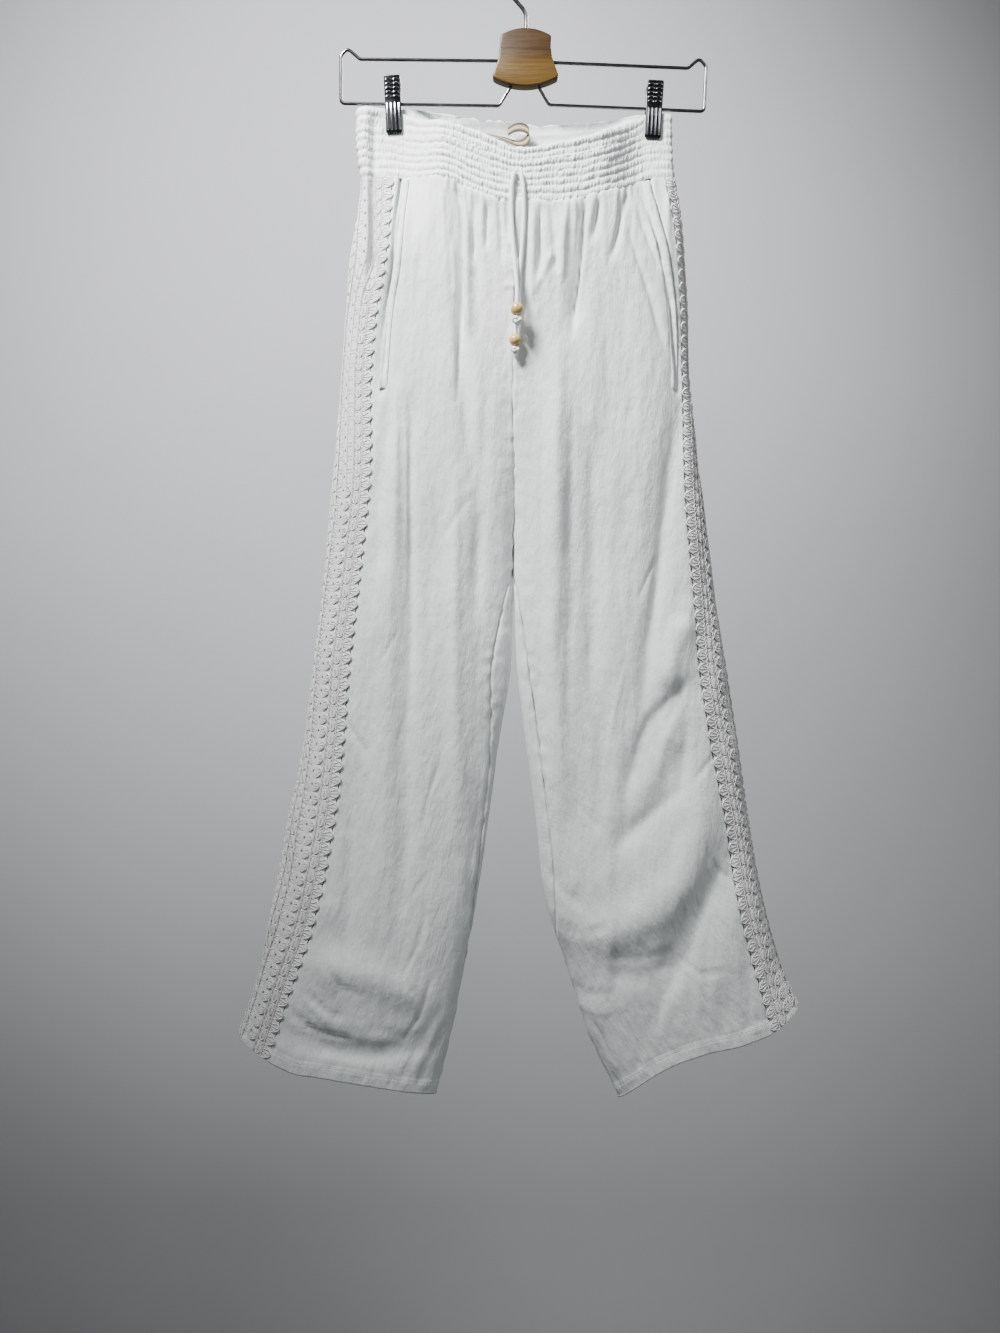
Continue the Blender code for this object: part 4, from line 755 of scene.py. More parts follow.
def ribbon_finish():
    """Cream woven ribbon, bare, with a dark line woven along each edge."""
    ribbon = Finish("cream ribbon", (0.80, 0.74, 0.58), 0.75, sheen_weight=0.1)
    place = ribbon.coordinates("cloth")
    cream, dark, rim = (0.50, 0.44, 0.30), (0.030, 0.018, 0.012), (0.44, 0.38, 0.25)
    weft = ribbon.noise(place, 1800.0)
    line = ribbon.ramp(ribbon.maths("ABSOLUTE", ribbon.axis(place, "X")), (0.0, cream),
                       (0.0029, cream), (0.0032, dark), (0.0049, dark), (0.0052, rim))
    shade = ribbon.maths("ADD", ribbon.maths("MULTIPLY", weft, 0.25), 0.86)
    mixed = ribbon.node("ShaderNodeVectorMath", {"Vector": line, "Scale": shade},
                        operation="SCALE")
    ribbon.feed("Base Color", mixed.outputs["Vector"])
    ribbon.bump((ribbon.bands(place, 0.0007), 0.0001), (weft, 0.00006))
    return ribbon.material


def paper_finish():
    """Pale matt studio paper with the faintest mottle."""
    paper = Finish("studio paper", (0.45, 0.457, 0.465), 0.95)
    place = paper.coordinates("OBJECT")
    paper.paint(paper.noise(place, 1.2, 4.0), (0.3, (0.438, 0.445, 0.453)),
                (0.7, (0.460, 0.467, 0.475)))
    paper.bump((paper.noise(place, 240.0), 0.0001))
    return paper.material


GAUZE = gauze_finish()
SHIRRING = shirring_finish()
NET = net_finish()
LACE_THREAD = thread_finish("lace thread", 0.0011)
SEWING_THREAD = thread_finish("sewing thread", 0.0007)
CORD = cord_finish()
BEAD = bead_finish()
WOOD = wood_finish()
WIRE = metal_finish("hanger steel", (0.30, 0.30, 0.305), 0.16)
# the clips' one chrome in two copies: this lighter one is painted highlight on the raised ribs and
# grips
CLIP_HIGHLIGHT_PLATING = metal_finish("bright plating", (0.50, 0.51, 0.53), 0.14)
# this near-black copy is painted dark reflection on the jaw plates and teeth
CLIP_DARK_REFLECTION_PLATING = metal_finish("dark plating", (0.075, 0.075, 0.08), 0.22)
RIBBON = ribbon_finish()


# ---- pieces from points ----------------------------------------------------------------------

def add_object(name, data):
    """A new object in the scene."""
    made = bpy.data.objects.new(name, data)
    bpy.context.scene.collection.objects.link(made)
    return made


def point_piece(name, points, faces, finish, uv=None, uv_name="cloth"):
    """A smooth mesh piece from points and faces, with a UV value for each point."""
    mesh = bpy.data.meshes.new(name)
    mesh.from_pydata(np.asarray(points, float).tolist(), [], [tuple(f) for f in faces])
    mesh.materials.append(finish)
    if uv is not None:
        layer = mesh.uv_layers.new(name=uv_name)
        corner = np.zeros(len(mesh.loops), int)
        mesh.loops.foreach_get("vertex_index", corner)
        layer.data.foreach_set("uv", np.asarray(uv, float)[corner].ravel())
    mesh.shade_smooth()
    mesh.update()
    return add_object(name, mesh)


def mend(piece, change):
    """Change a piece's mesh."""
    bm = bmesh.new()
    bm.from_mesh(piece.data)
    change(bm)
    bm.to_mesh(piece.data)
    bm.free()


def settle(piece, slot, *nodes):
    """Fix a finished piece to the root part, in place of any solids of its own; the slot given is
    not used.
    """
    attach(piece, "root")
    if nodes:
        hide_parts(*nodes)
    return piece


def grid_faces(rows, columns, closed=False, first=0):
    """Corner numbers of the quads of a grid of points."""
    index = np.arange(rows * columns).reshape(rows, columns) + first
    if closed:
        index = np.concatenate([index, index[:, :1]], axis=1)
    quads = np.stack([index[:-1, :-1], index[:-1, 1:], index[1:, 1:], index[1:, :-1]], axis=-1)
    return quads.reshape(-1, 4)


def facing_out(points, faces, normals):
    """The faces, turned round if most of them point against the normals."""
    first, second, third = (points[faces[:, k]] for k in range(3))
    agree = (np.cross(second - first, third - first) * normals[faces[:, 0]]).sum()
    return faces if agree > 0 else faces[:, ::-1]


def cloth_grid(name, points, normals, uv, finish, thick=CLOTH_WALL, offset=-1.0):
    """A cloth sheet from a grid of points, with its wall inward."""
    flat = points.reshape(-1, 3)
    faces = facing_out(flat, grid_faces(*points.shape[:2]), normals.reshape(-1, 3))
    sheet = point_piece(name, flat, faces, finish, uv.reshape(-1, 2))
    wall = sheet.modifiers.new("cloth wall", "SOLIDIFY")
    wall.thickness = thick
    wall.offset = offset
    return sheet


def thread_mesh(paths, normals, radius, sides=5, closed=False):
    """Points, faces and UVs of round threads along many paths at once.

    paths and normals are (threads, points, 3); radius is a number or one for each point.
    """
    if closed:
        way = unit(np.roll(paths, -1, axis=1) - np.roll(paths, 1, axis=1))
    else:
        way = unit(np.gradient(paths, axis=1))
    aside = unit(np.cross(way, normals))
    up = np.cross(aside, way)
    turn = np.arange(sides) * 2.0 * math.pi / sides
    spoke = aside[:, :, None] * np.cos(turn)[:, None] + up[:, :, None] * np.sin(turn)[:, None]
    thick = np.broadcast_to(np.asarray(radius, float), paths.shape[:2])[..., None, None]
    points = paths[:, :, None] + spoke * thick
    threads, count = paths.shape[:2]
    round_it = turn * float(np.mean(thick))
    uv = np.stack(np.broadcast_arrays(round_it, run_length(paths)[..., None]), axis=-1)
    rings = np.concatenate([grid_faces(count, sides, True, k * count * sides)
                            for k in range(threads)])
    if closed:
        ring = np.arange(sides)
        after = (ring + 1) % sides
        last = (count - 1) * sides
        join = np.stack([last + ring, last + after, after, ring], axis=1)
        starts = np.arange(threads)[:, None, None] * count * sides
        rings = np.concatenate([rings, (join + starts).reshape(-1, 4)])
    return points.reshape(-1, 3), rings, uv.reshape(-1, 2)


def thread_piece(name, parts, finish, caps=()):
    """One piece from many threads, with their faces outward."""
    points, faces, uvs = zip(*parts)
    starts = np.cumsum([0, *map(len, points)])
    faces = np.concatenate([face + start for face, start in zip(faces, starts)])
    piece = point_piece(name, np.concatenate(points), [*faces, *caps], finish,
                        np.concatenate(uvs), "thread")
    mend(piece, lambda bm: bmesh.ops.recalc_face_normals(bm, faces=bm.faces))
    return piece


def cord_piece(name, path, radius, sides=14):
    """A round cord along a smooth line, its ends rounded off."""
    tips = 0.25 + 0.75 * np.sin(np.array((0.0, math.pi / 4)))
    radii = np.full(len(path), radius)
    radii[:2] *= tips
    radii[-2:] *= tips[::-1]
    upright = np.broadcast_to((0.31, -0.95, 0.0), path.shape)
    ring = tuple(range(sides))
    last = tuple(range((len(path) - 1) * sides, len(path) * sides))
    part = thread_mesh(path[None], upright[None], radii[None], sides)
    return thread_piece(name, [part], CORD, (ring[::-1], last))


# ---- camera ----------------------------------------------------------------------------------

def set_camera():
    """Level camera straight in front, as the photograph was taken."""
    eye = bpy.data.cameras.new("camera")
    eye.sensor_width = 36.0
    eye.lens = 36.0 * 1.300 / 1.333
    eye.clip_start = 0.05
    camera = add_object("camera", eye)
    camera.location = (-0.026, -1.300, -0.6995)
    camera.rotation_euler = (math.pi / 2, 0.0, 0.0)
    bpy.context.scene.camera = camera


set_camera()


# ---- hand modelling --------------------------------------------------------------------------

def pick_out(*pieces):
    """Select these pieces alone, the first one active."""
    bpy.ops.object.select_all(action="DESELECT")
    for piece in pieces:
        piece.select_set(True)
    bpy.context.view_layer.objects.active = pieces[0]


def edit_all():
    """Open the active piece for editing, all of it selected."""
    bpy.ops.object.mode_set(mode="EDIT")
    bpy.ops.mesh.select_all(action="SELECT")


def rename(name):
    """Name the piece just made, and its mesh."""
    piece = bpy.context.object
    piece.name = name
    piece.data.name = name
    return piece


def finish_shape(piece, finish, smooth):
    """Put a piece's place into its mesh, mend its normals and give it its finish."""
    bpy.ops.object.mode_set(mode="OBJECT")
    pick_out(piece)
    bpy.ops.object.transform_apply()
    edit_all()
    bpy.ops.mesh.remove_doubles(threshold=0.00001)
    bpy.ops.mesh.normals_make_consistent(inside=False)
    bpy.ops.object.mode_set(mode="OBJECT")
    bpy.ops.object.shade_smooth_by_angle(angle=math.radians(smooth))
    piece.data.materials.clear()
    piece.data.materials.append(finish)
    bpy.ops.object.select_all(action="DESELECT")
    return piece


def pick(piece, wanted, kind="EDGE"):
    """Select in edit mode the corners, edges or faces that a test wants."""
    bpy.ops.object.mode_set(mode="EDIT")
    bpy.ops.mesh.select_mode(type=kind)
    bpy.ops.mesh.select_all(action="DESELECT")
    bm = bmesh.from_edit_mesh(piece.data)
    for part in {"VERT": bm.verts, "EDGE": bm.edges, "FACE": bm.faces}[kind]:
        part.select_set(bool(wanted(part)))
    bm.select_flush(True)
    bmesh.update_edit_mesh(piece.data)


def ease_edges(piece, sharper, offset, segments, wanted=lambda edge: True, **settings):
    """Round the edges that turn by more than an angle in radians."""
    pick(piece, lambda edge: edge.calc_face_angle(0.0) > sharper and wanted(edge))
    bpy.ops.mesh.bevel(offset=offset, segments=segments, affect="EDGES", **settings)


# ---- drawstring: cords, beads and knots ------------------------------------------------------

SHORT_ROUTE = (
    (-0.0110, -0.0335, -0.2145), (-0.0138, -0.0338, -0.2260), (-0.0152, -0.0344, -0.2510),
    (-0.0138, -0.0362, -0.2800), (-0.0114, -0.0398, -0.3100), (-0.0098, -0.0436, -0.3310),
    (-0.0095, -0.0460, -0.3430), (-0.0095, -0.0462, -0.3520), (-0.0095, -0.0462, -0.3606))
LONG_ROUTE = (
    (-0.0060, -0.0335, -0.2155), (-0.0040, -0.0338, -0.2280), (-0.0028, -0.0340, -0.2560),
    (-0.0045, -0.0346, -0.2900), (-0.0078, -0.0356, -0.3280), (-0.0096, -0.0368, -0.3540),
    (-0.0110, -0.0376, -0.3690), (-0.0112, -0.0378, -0.3750), (-0.0112, -0.0378, -0.3810),
    (-0.0112, -0.0378, -0.3880))
# for each end: cord, route, end, bead's place and radius, knot's width and height, frayed threads
CORD_ENDS = (
    ("short", SHORT_ROUTE, "upper", (-0.0095, -0.0462, -0.3546), 0.0065, 0.0105, 0.0096, 4),
    ("long", LONG_ROUTE, "lower", (-0.0112, -0.0378, -0.3825), 0.0060, 0.0092, 0.0076, 16))
KNOT_THREAD = 0.0019         # radius of the cord where it is pulled into its knot


def make_bead(name, place, radius, bore):
    """A turned bead: a ball opened at both poles, its hole bridged and its rims eased."""
    bpy.ops.mesh.primitive_uv_sphere_add(segments=40, ring_count=26, radius=radius,
                                         location=place)
    bead = rename(name)
    pick(bead, lambda vert: math.hypot(vert.co.x, vert.co.y) < bore * 0.98, "VERT")
    bpy.ops.mesh.delete(type="VERT")
    pick(bead, lambda edge: edge.is_boundary)
    bpy.ops.mesh.bridge_edge_loops()
    ease_edges(bead, 0.6, 0.0005, 2)
    return finish_shape(bead, BEAD, 60.0)


def knot_run(place, width, height):
    """An overhand knot's closed run, upright in a box of the given width and height."""
    t = np.linspace(0.0, 2.0 * math.pi, 72, endpoint=False)
    side, tall = width / 2 - KNOT_THREAD, height / 2 - KNOT_THREAD
    x = side / 3.0 * (np.sin(t) + 2.0 * np.sin(2.0 * t))
    z = tall / 2.75 * (np.cos(t) - 2.0 * np.cos(2.0 * t))
    return np.stack([x, -side * 0.75 * np.sin(3.0 * t), z], axis=1) + place


def make_knot(name, place, width, height, tails):
    """A pulled overhand knot with its frayed tail."""
    run = knot_run(place, width, height)
    upright = np.broadcast_to((0.25, -0.3, 0.92), run.shape)
    parts = [thread_mesh(run[None], upright[None], KNOT_THREAD, 10, True)]
    rng = np.random.default_rng(len(name))
    for _ in range(tails):
        start = np.array(place) + rng.uniform(-1.0, 1.0, 3) * (0.0016, 0.0016, 0.0006)
        start[2] -= height * 0.30
        end = start + (rng.uniform(-0.0022, 0.0022), rng.uniform(-0.0018, 0.0018),
                       -height * rng.uniform(0.22, 0.42))
        bend = (start + end) / 2 + rng.uniform(-0.0006, 0.0006, 3)
        tail = smooth_route((start, bend, end), 6)
        aside = np.broadcast_to((1.0, 0.1, 0.0), tail.shape)
        parts.append(thread_mesh(tail[None], aside[None], 0.00028, 4))
    return thread_piece(name, parts, CORD)


def make_drawstring():
    """Both free ends of the waist cord, each with its bead and knot."""
    bore = CORD_RADIUS + 0.0004
    for cord_name, route, end_name, place, radius, width, height, tails in CORD_ENDS:
        path = smooth_route(route, 60)
        cord = cord_piece(f"cord_{cord_name}", path, CORD_RADIUS)
        bead = make_bead(f"turned_bead_{end_name}", place, radius, bore)
        half_bead = math.sqrt(radius ** 2 - bore ** 2)
        middle = (place[0], place[1], place[2] - half_bead - 0.0003 - height / 2)
        knot = make_knot(f"tied_knot_{end_name}", middle, width, height, tails)
        settle(cord, "cord", f"drawstring_{cord_name}")
        settle(bead, "bead", f"bead_{end_name}")
        settle(knot, "cord", f"knot_{end_name}")


make_drawstring()


# ---- legs and seat ---------------------------------------------------------------------------

def pocket_hollow(shape, at):
    """How deep the cloth lies beside and under the pocket's welt, where the mouth opens."""
    aside = shape.spans["front"][1][:, None] - at
    level = shape.levels[:, None]
    near = line_value(POCKET_EDGES[shape.half], level)
    mouth, depth, wedge = {"left": (0.0030, 0.0055, 0.0030),
                           "right": (0.0016, 0.0040, 0.0012)}[shape.half]
    slit = window(aside, near - mouth - 0.0012, near - mouth + 0.0010,
                  near + 0.0010, near + 0.0062)
    tall = window(level, 0.206, 0.212, 0.330, POCKET_END)
    soft = window(aside, 0.0010, near, near + 0.0010, near + 0.0080)
    low = window(level, 0.235, 0.310, 0.400, 0.450)
    return np.maximum(depth * slit * tall, wedge * soft * low)


def panel_surface(shape, piece, at):
    """A panel's points and normals, with its turned hem and its puckers along the seams."""
    points, normals = shape.grid(at)
    level = shape.levels[:, None]
    up = shape.hem_level - level
    from_seam = at - at[:, :1]
    if piece == "front":
        points = points - normals * pocket_hollow(shape, at)[..., None]
    else:
        from_seam = np.minimum(from_seam, at[:, -1:] - at)
    seed = {"front": 71, "back": 73}[piece] + (shape.half == "left")
    pucker = soft_noise(at / 0.0046 + 30, up / 0.020 + 5, seed)
    pucker += 0.7 * soft_noise(at / 0.0100 + 30, up / 0.009 + 5, seed + 4)
    tug = soft_noise(from_seam / 0.010 + 3, level / 0.0075, seed + 8)
    lift = (HEM_RELIEF * ease(-up, -HEM_WIDTH - 0.0006, -HEM_WIDTH + 0.0004)
            - 0.0005 * hill(up - HEM_WIDTH + 0.0012, 0.0009) * (up < 0.03)
            + 0.0008 * pucker * hill(up - HEM_WIDTH, 0.009)
            + 0.0009 * tug * hill(from_seam, 0.010)
            + 0.0007 * hill(from_seam - 0.0045, 0.0022) * ease(level, CROTCH, CROTCH + 0.05))
    return points + normals * lift[..., None], normals


def tuck_ends(points, normals, at, levels):
    """Add the row tucked under the waistband and the rows turned under at the hem, with UVs."""
    last, out = points[-1:], normals[-1:]
    points = np.concatenate([
        points[:1] - normals[:1] * 0.0009 + (0.0, 0.0, 0.0030), points,
        last - out * 0.0006 + (0.0, 0.0, -0.0004), last - out * 0.0018 + (0.0, 0.0, 0.0004),
        points[-5:-4] - normals[-5:-4] * 0.0022])
    normals = np.pad(normals, ((1, 3), (0, 0), (0, 0)), mode="edge")
    at = np.pad(at, ((1, 3), (0, 0)), mode="edge")
    levels = np.concatenate([levels[:1] - 0.003, levels,
                             levels[-1] + np.array((0.001, 0.002, 0.006))])
    return points, normals, np.stack(np.broadcast_arrays(at, levels[:, None]), axis=-1)


def stitch_row(name, points, normals, pitch, length, radius):
    """A row of short stitches along a line on the cloth."""
    along = run_length(points)
    count = int(along[-1] / pitch)
    starts = (np.arange(count) + 0.5) * along[-1] / count - length / 2
    step = np.linspace(0.0, 1.0, 5)
    at = starts[:, None] + step * length
    run, out = (np.stack([np.interp(at, along, line[:, k]) for k in range(3)], axis=2)
                for line in (points, normals))
    run = run + out * (radius * (1.6 * arch(step) - 0.6))[:, None]
    part = thread_mesh(run, out, radius * (0.45 + 0.55 * arch(step)))
    return settle(thread_piece(name, [part], SEWING_THREAD), "cloth")


def make_panel(shape, piece):
    """One cloth panel of a leg with its half of the seat."""
    count = PANEL_COLUMNS[piece]
    at = shape.columns(piece, count)
    points, normals = panel_surface(shape, piece, at)
    panel = cloth_grid(f"{piece}_panel_{shape.half}",
                       *tuck_ends(points, normals, at, shape.levels), GAUZE)
    settle(panel, "cloth", f"{piece}_{shape.half}")
    hem_row = int(np.argmin(np.abs(shape.levels - shape.hem_level + HEM_WIDTH - 0.0012)))
    stitches = stitch_row(f"{piece}_hem_stitches_{shape.half}", points[hem_row],
                          normals[hem_row], 0.0034, 0.0026, 0.00028)


# ---- crochet side bands ----------------------------------------------------------------------

MIDDLE = 27.0                # mm from the band's edge to its middle
ROWS = 12                    # rows of the ground for each repeat
DOTTED_SHARE = 0.36          # upper part of the band, whose middle has dots instead of scales
# mm from the band's edge to the lines of the ground, as far as its middle
GROUND_LINES = (0.0, 1.5, 3.0, 4.5, 6.0, 7.5, 9.2, 9.3, 10.0, 11.6, 13.3, 15.0, 16.6, 18.2,
                18.9, 19.7, 20.4, 21.3, 22.0, 22.9, 23.6, 24.6, 26.4, 27.0)
# rows of a repeat, middles of the ground's cells in mm, and whether only the dotted part has them
HOLES = (((0, 1, 11), (9.65, 18.55), False), ((4, 7), (20.05, 21.65, 23.25), True),
         ((10, 11), (26.7,), False), ((3, 8), (18.55,), False))


class LaceMap:
    """Places on a lace band: u across it and run down it in metres, and lift off it."""

    def __init__(self, shape):
        start = shape.spans["lace"][0]
        self.u = np.linspace(-0.003, LACE_WIDTH + 0.003, 41)
        self.points, self.normals = shape.grid(start[:, None] + self.u)
        self.runs = run_length(self.points[:, 20])
        self.length = float(self.runs[-1])
        self.repeats = round(self.length / LACE_REPEAT)
        self.repeat = self.length / self.repeats

    def read(self, u, run, lift):
        """Points and normals at places given by arrays of one shape, u and lift in mm."""
        u, run, lift = np.broadcast_arrays(np.asarray(u) / 1000, run, np.asarray(lift) / 1000)
        rows, columns = len(self.runs), len(self.u)
        row = np.clip(np.interp(run, self.runs, np.arange(rows)), 0, rows - 1.001)
        column = np.clip((u - self.u[0]) / (self.u[1] - self.u[0]), 0, columns - 1.001)
        i, j = row.astype(int), column.astype(int)
        a, b = (row - i)[..., None], (column - j)[..., None]

        def blend(table):
            near = table[i, j] * (1 - b) + table[i, j + 1] * b
            far = table[i + 1, j] * (1 - b) + table[i + 1, j + 1] * b
            return near * (1 - a) + far * a

        normals = unit(blend(self.normals))
        return blend(self.points) + normals * lift[..., None], normals


def petal_edge(bulge):
    """mm from the band's edge to a petal's outline."""
    return 7.6 - 9.0 * bulge ** 0.8


def scale_edge(bulge):
    """mm from the band's edge to a scale's outline."""
    return 26.0 - 7.2 * bulge ** 0.8


def ground_lift(u, t, low):
    """Relief of the worked ground, mm: petals, ovals, scales and the middle braid."""
    side = np.minimum(u, 2 * MIDDLE - u)
    edge = petal_edge(arch(t))
    petal = window(side, edge - 1.2, edge + 1.6, 6.6, 8.6)
    tip = 1.0 - ease(side, 0.0, 6.0)
    oval = np.clip(1.0 - ((side - 13.3) / 3.2) ** 2 - ((t - 0.5) / 0.44) ** 2, 0.0, 1.0)
    braid = 1.0 - ease(MIDDLE - side, 1.6, 3.4)
    edge = scale_edge(np.abs(np.cos(math.pi * t)))
    scale = window(side, edge - 1.0, edge + 1.4, 24.6, 26.6) * low
    return 0.20 + petal * (0.7 + 0.5 * tip) + 1.1 * np.sqrt(oval) + 0.7 * braid + 0.9 * scale


def make_ground(half, lace):
    """The band's worked ground, its real holes left open."""
    across = np.array(GROUND_LINES + tuple(2 * MIDDLE - u for u in GROUND_LINES[-2::-1]))
    step = np.arange(lace.repeats * ROWS + 1)
    u, run = np.meshgrid(across, step / ROWS * lace.repeat)
    t = np.broadcast_to(((step % ROWS) / ROWS)[:, None], u.shape)
    scallop = np.where(np.minimum(u, 2 * MIDDLE - u) < 0.5, 0.9 - 1.4 * arch(t, 0.8), 0.0)
    u = u + np.where(u < MIDDLE, scallop, -scallop)
    lift = ground_lift(u, t, run > DOTTED_SHARE * lace.length)
    points, normals = lace.read(u, run, lift)
    faces = grid_faces(*u.shape).reshape(len(step) - 1, len(across) - 1, 4)
    middles = (across[:-1] + across[1:]) / 2
    side = np.minimum(middles, 2 * MIDDLE - middles)[:, None]
    keep = np.ones(faces.shape[:2], bool)
    dotted = step[:-1] < DOTTED_SHARE * (len(step) - 1)
    for rows, columns, dots in HOLES:
        in_rows = np.isin(step[:-1] % ROWS, rows) & (dotted | (not dots))
        keep &= ~(in_rows[:, None] & (np.abs(side - columns) < 0.2).any(axis=1))
    flat = points.reshape(-1, 3)
    kept = facing_out(flat, faces[keep], normals.reshape(-1, 3))
    uv = np.stack([u / 1000, run], axis=-1).reshape(-1, 2)
    ground = point_piece(f"lace_ground_{half}", flat, kept, NET, uv, "lace")
    mend(ground, lambda bm: bmesh.ops.delete(
        bm, geom=[vert for vert in bm.verts if not vert.link_faces], context="VERTS"))
    return ground


def repeat_lines(lace, u, t, lift, radius, sides=4, closed=False, first=0):
    """The same thread once in every repeat from the first, on both sides of the band."""
    starts = np.arange(first, lace.repeats)[:, None] * lace.repeat
    run = np.clip(starts + t * lace.repeat, 0.0, lace.length)
    return [thread_mesh(*lace.read(place, run, lift), radius, sides, closed)
            for place in (u, 2 * MIDDLE - u)]


def spokes(lace, spokes_of, root, edge, count, lift, radius, **settings):
    """Short threads in every repeat, from a root line to just inside an outline."""
    parts = []
    line = np.linspace(0.0, 1.0, count)
    for foot, tip, bulge in spokes_of:
        reach = edge(arch(bulge)) + 0.9
        parts += repeat_lines(lace, root + (reach - root) * line, foot + (tip - foot) * line,
                              lift + 0.25 * line, radius, **settings)
    return parts


def chain(lace, middle, spread, lift, radius, twists=3):
    """Two strands twisted round each other down the whole band, on both sides, in mm."""
    parts = []
    run = np.linspace(0.0, lace.length, lace.repeats * twists * 5 + 1)
    turn = run / lace.repeat * twists * math.pi
    for side in (middle, 2 * MIDDLE - middle):
        for phase in (0.0, math.pi):
            points, normals = lace.read(side + spread * np.cos(turn + phase), run,
                                        lift + 0.5 * spread * np.sin(turn + phase))
            parts.append(thread_mesh(points[None], normals[None], radius, 4))
    return parts


def make_threads(half, lace):
    """The raised threads: petals, twisted chains, ovals, bars and scales."""
    t = np.linspace(0.0, 1.0, 13)
    bulge = arch(t)
    parts = repeat_lines(lace, petal_edge(bulge), t, 0.6 + 0.6 * bulge, 0.00066, 5)
    parts += spokes(lace, ((0.36, 0.22, 0.22), (0.50, 0.50, 0.50), (0.64, 0.78, 0.78)),
                    7.4, petal_edge, 4, 1.10, 0.00042)
    parts += chain(lace, 8.6, 0.55, 0.95, 0.00052)
    turn = np.linspace(0.0, 2.0 * math.pi, 14, endpoint=False)
    parts += repeat_lines(lace, 13.3 + 3.2 * np.cos(turn), 0.5 + 0.44 * np.sin(turn), 0.70,
                          0.00060, closed=True)
    parts += repeat_lines(lace, np.full(5, 13.3), np.linspace(0.14, 0.86, 5),
                          (0.7, 1.45, 1.70, 1.45, 0.7), 0.00036)
    parts += chain(lace, 17.6, 0.65, 0.95, 0.00055)
    parts += chain(lace, 24.9, 0.45, 0.80, 0.00042)
    first = math.ceil(DOTTED_SHARE * lace.repeats)
    parts += repeat_lines(lace, scale_edge(bulge), t - 0.5, 0.6 + 0.9 * bulge, 0.00058,
                          first=first)
    parts += spokes(lace, ((-0.11, -0.22, 0.28), (0.0, 0.0, 0.50), (0.11, 0.22, 0.72)),
                    25.6, scale_edge, 3, 1.15, 0.00036, first=first)
    for low, high in ((0.04, 0.20), (0.80, 0.96)):
        parts += repeat_lines(lace, np.linspace(9.9, 16.8, 6),
                              low + (high - low) * (np.arange(6) % 2), 0.50, 0.00034)
    return thread_piece(f"lace_threads_{half}", parts, LACE_THREAD)


def make_lace(shape):
    """The crocheted band down one side."""
    lace = LaceMap(shape)
    pieces = [make(shape.half, lace) for make in (make_ground, make_threads)]
    for piece in pieces:
        settle(piece, "lace", f"lace_{shape.half}")


# ---- pocket edges ----------------------------------------------------------------------------

def make_pocket(shape):
    """The welt of the pocket mouth, with its puckers and its row of stitches."""
    half = shape.half
    near, far = (line_value(POCKET_EDGES[half], shape.levels, k)[:, None] for k in (1, 2))
    share = np.linspace(0.0, 1.0, 9)
    at = shape.spans["front"][1][:, None] - far + (far - near) * share
    seen = slice(1, int(np.sum(shape.levels < POCKET_END)))
    points, normals, at, level = (part[seen] for part in (*shape.grid(at), at,
                                                          shape.levels[:, None]))
    rib = arch(share, 0.5)
    pucker = soft_noise(share * 2.0 + 9, level / 0.0036, 81 + (half == "left"))
    small = soft_noise(share * 3.0 + 4, level / 0.0019, 83)
    end = 1.0 - ease(level, POCKET_END - 0.012, POCKET_END - 0.001)
    lift = -0.0005 + (0.0010 + 0.0011 * rib + 0.0005 * pucker * rib + 0.0002 * small) * end
    outer = points + normals * lift[..., None]
    inward = unit(outer[:, -1:] - outer[:, -2:-1])
    lip = outer[:, -1:] + inward * 0.0003 - normals[:, -1:] * 0.0008
    foot = outer[:, -1:] - inward * 0.0012 - normals[:, -1:] * 0.0016
    outer = np.concatenate([outer, lip, foot], axis=1)
    normals = np.concatenate([normals, inward, inward], axis=1)
    at = np.concatenate([at, at[:, -1:] + 0.001, at[:, -1:] + 0.004], axis=1)
    uv = np.stack(np.broadcast_arrays(at, level), axis=-1)
    welt = cloth_grid(f"pocket_welt_{half}", outer, normals, uv, GAUZE, THIN_WALL)
    settle(welt, "cloth", f"pocket_{half}")
    stitches = stitch_row(f"pocket_stitches_{half}", outer[:, 2], normals[:, 2],
                          0.0032, 0.0022, 0.00026)


def make_half(half):
    """All the cloth of one half."""
    shape = Half(half)
    for piece in FACES:
        make_panel(shape, piece)
    make_lace(shape)
    make_pocket(shape)


for side_name in SIDES:
    make_half(side_name)


# ---- waistband -------------------------------------------------------------------------------

CHANNEL_LINES = (0.0, 0.13, 0.26, 0.38, 0.50, 0.62, 0.74, 0.87, 1.0)
BAND_LENGTH = 0.075          # down the band's UV map, from its top to its foot


def band_loop(v):
    """Points, outward directions and clip hold round the waistband, row by row."""
    loops = [section(half, band_drops(half, v)) for half in SIDES]
    holds = [clip_hold(half, loop[..., 0], -loop[..., 2]) for half, loop in zip(SIDES, loops)]
    loop = np.concatenate([loops[0], loops[1][:, ::-1], loops[0][:, :1]], axis=1)
    hold = np.concatenate([holds[0], holds[1][:, ::-1], holds[0][:, :1]], axis=1)
    tangent = np.gradient(loop, axis=1)
    tangent[:, 0] = tangent[:, -1] = loop[:, 1] - loop[:, -2]
    out = unit(np.stack([-tangent[..., 1], tangent[..., 0], np.zeros(hold.shape)], axis=-1))
    return loop, out, hold


def even_loop(v):
    """The waistband's surface row by row, its columns closer together on the front."""
    loop, out, hold = band_loop(v)
    along = run_length(loop)
    share = np.interp(np.arange(BAND_COLUMNS) / BAND_COLUMNS, (0.0, 0.36, 0.64, 1.0),
                      (0.0, 0.25, 0.75, 1.0))
    at = along[:, -1:] * share
    held = spread_rows(hold[..., None], along, at)[..., 0]
    return spread_rows(loop, along, at), unit(spread_rows(out, along, at)), 1.0 - held, at


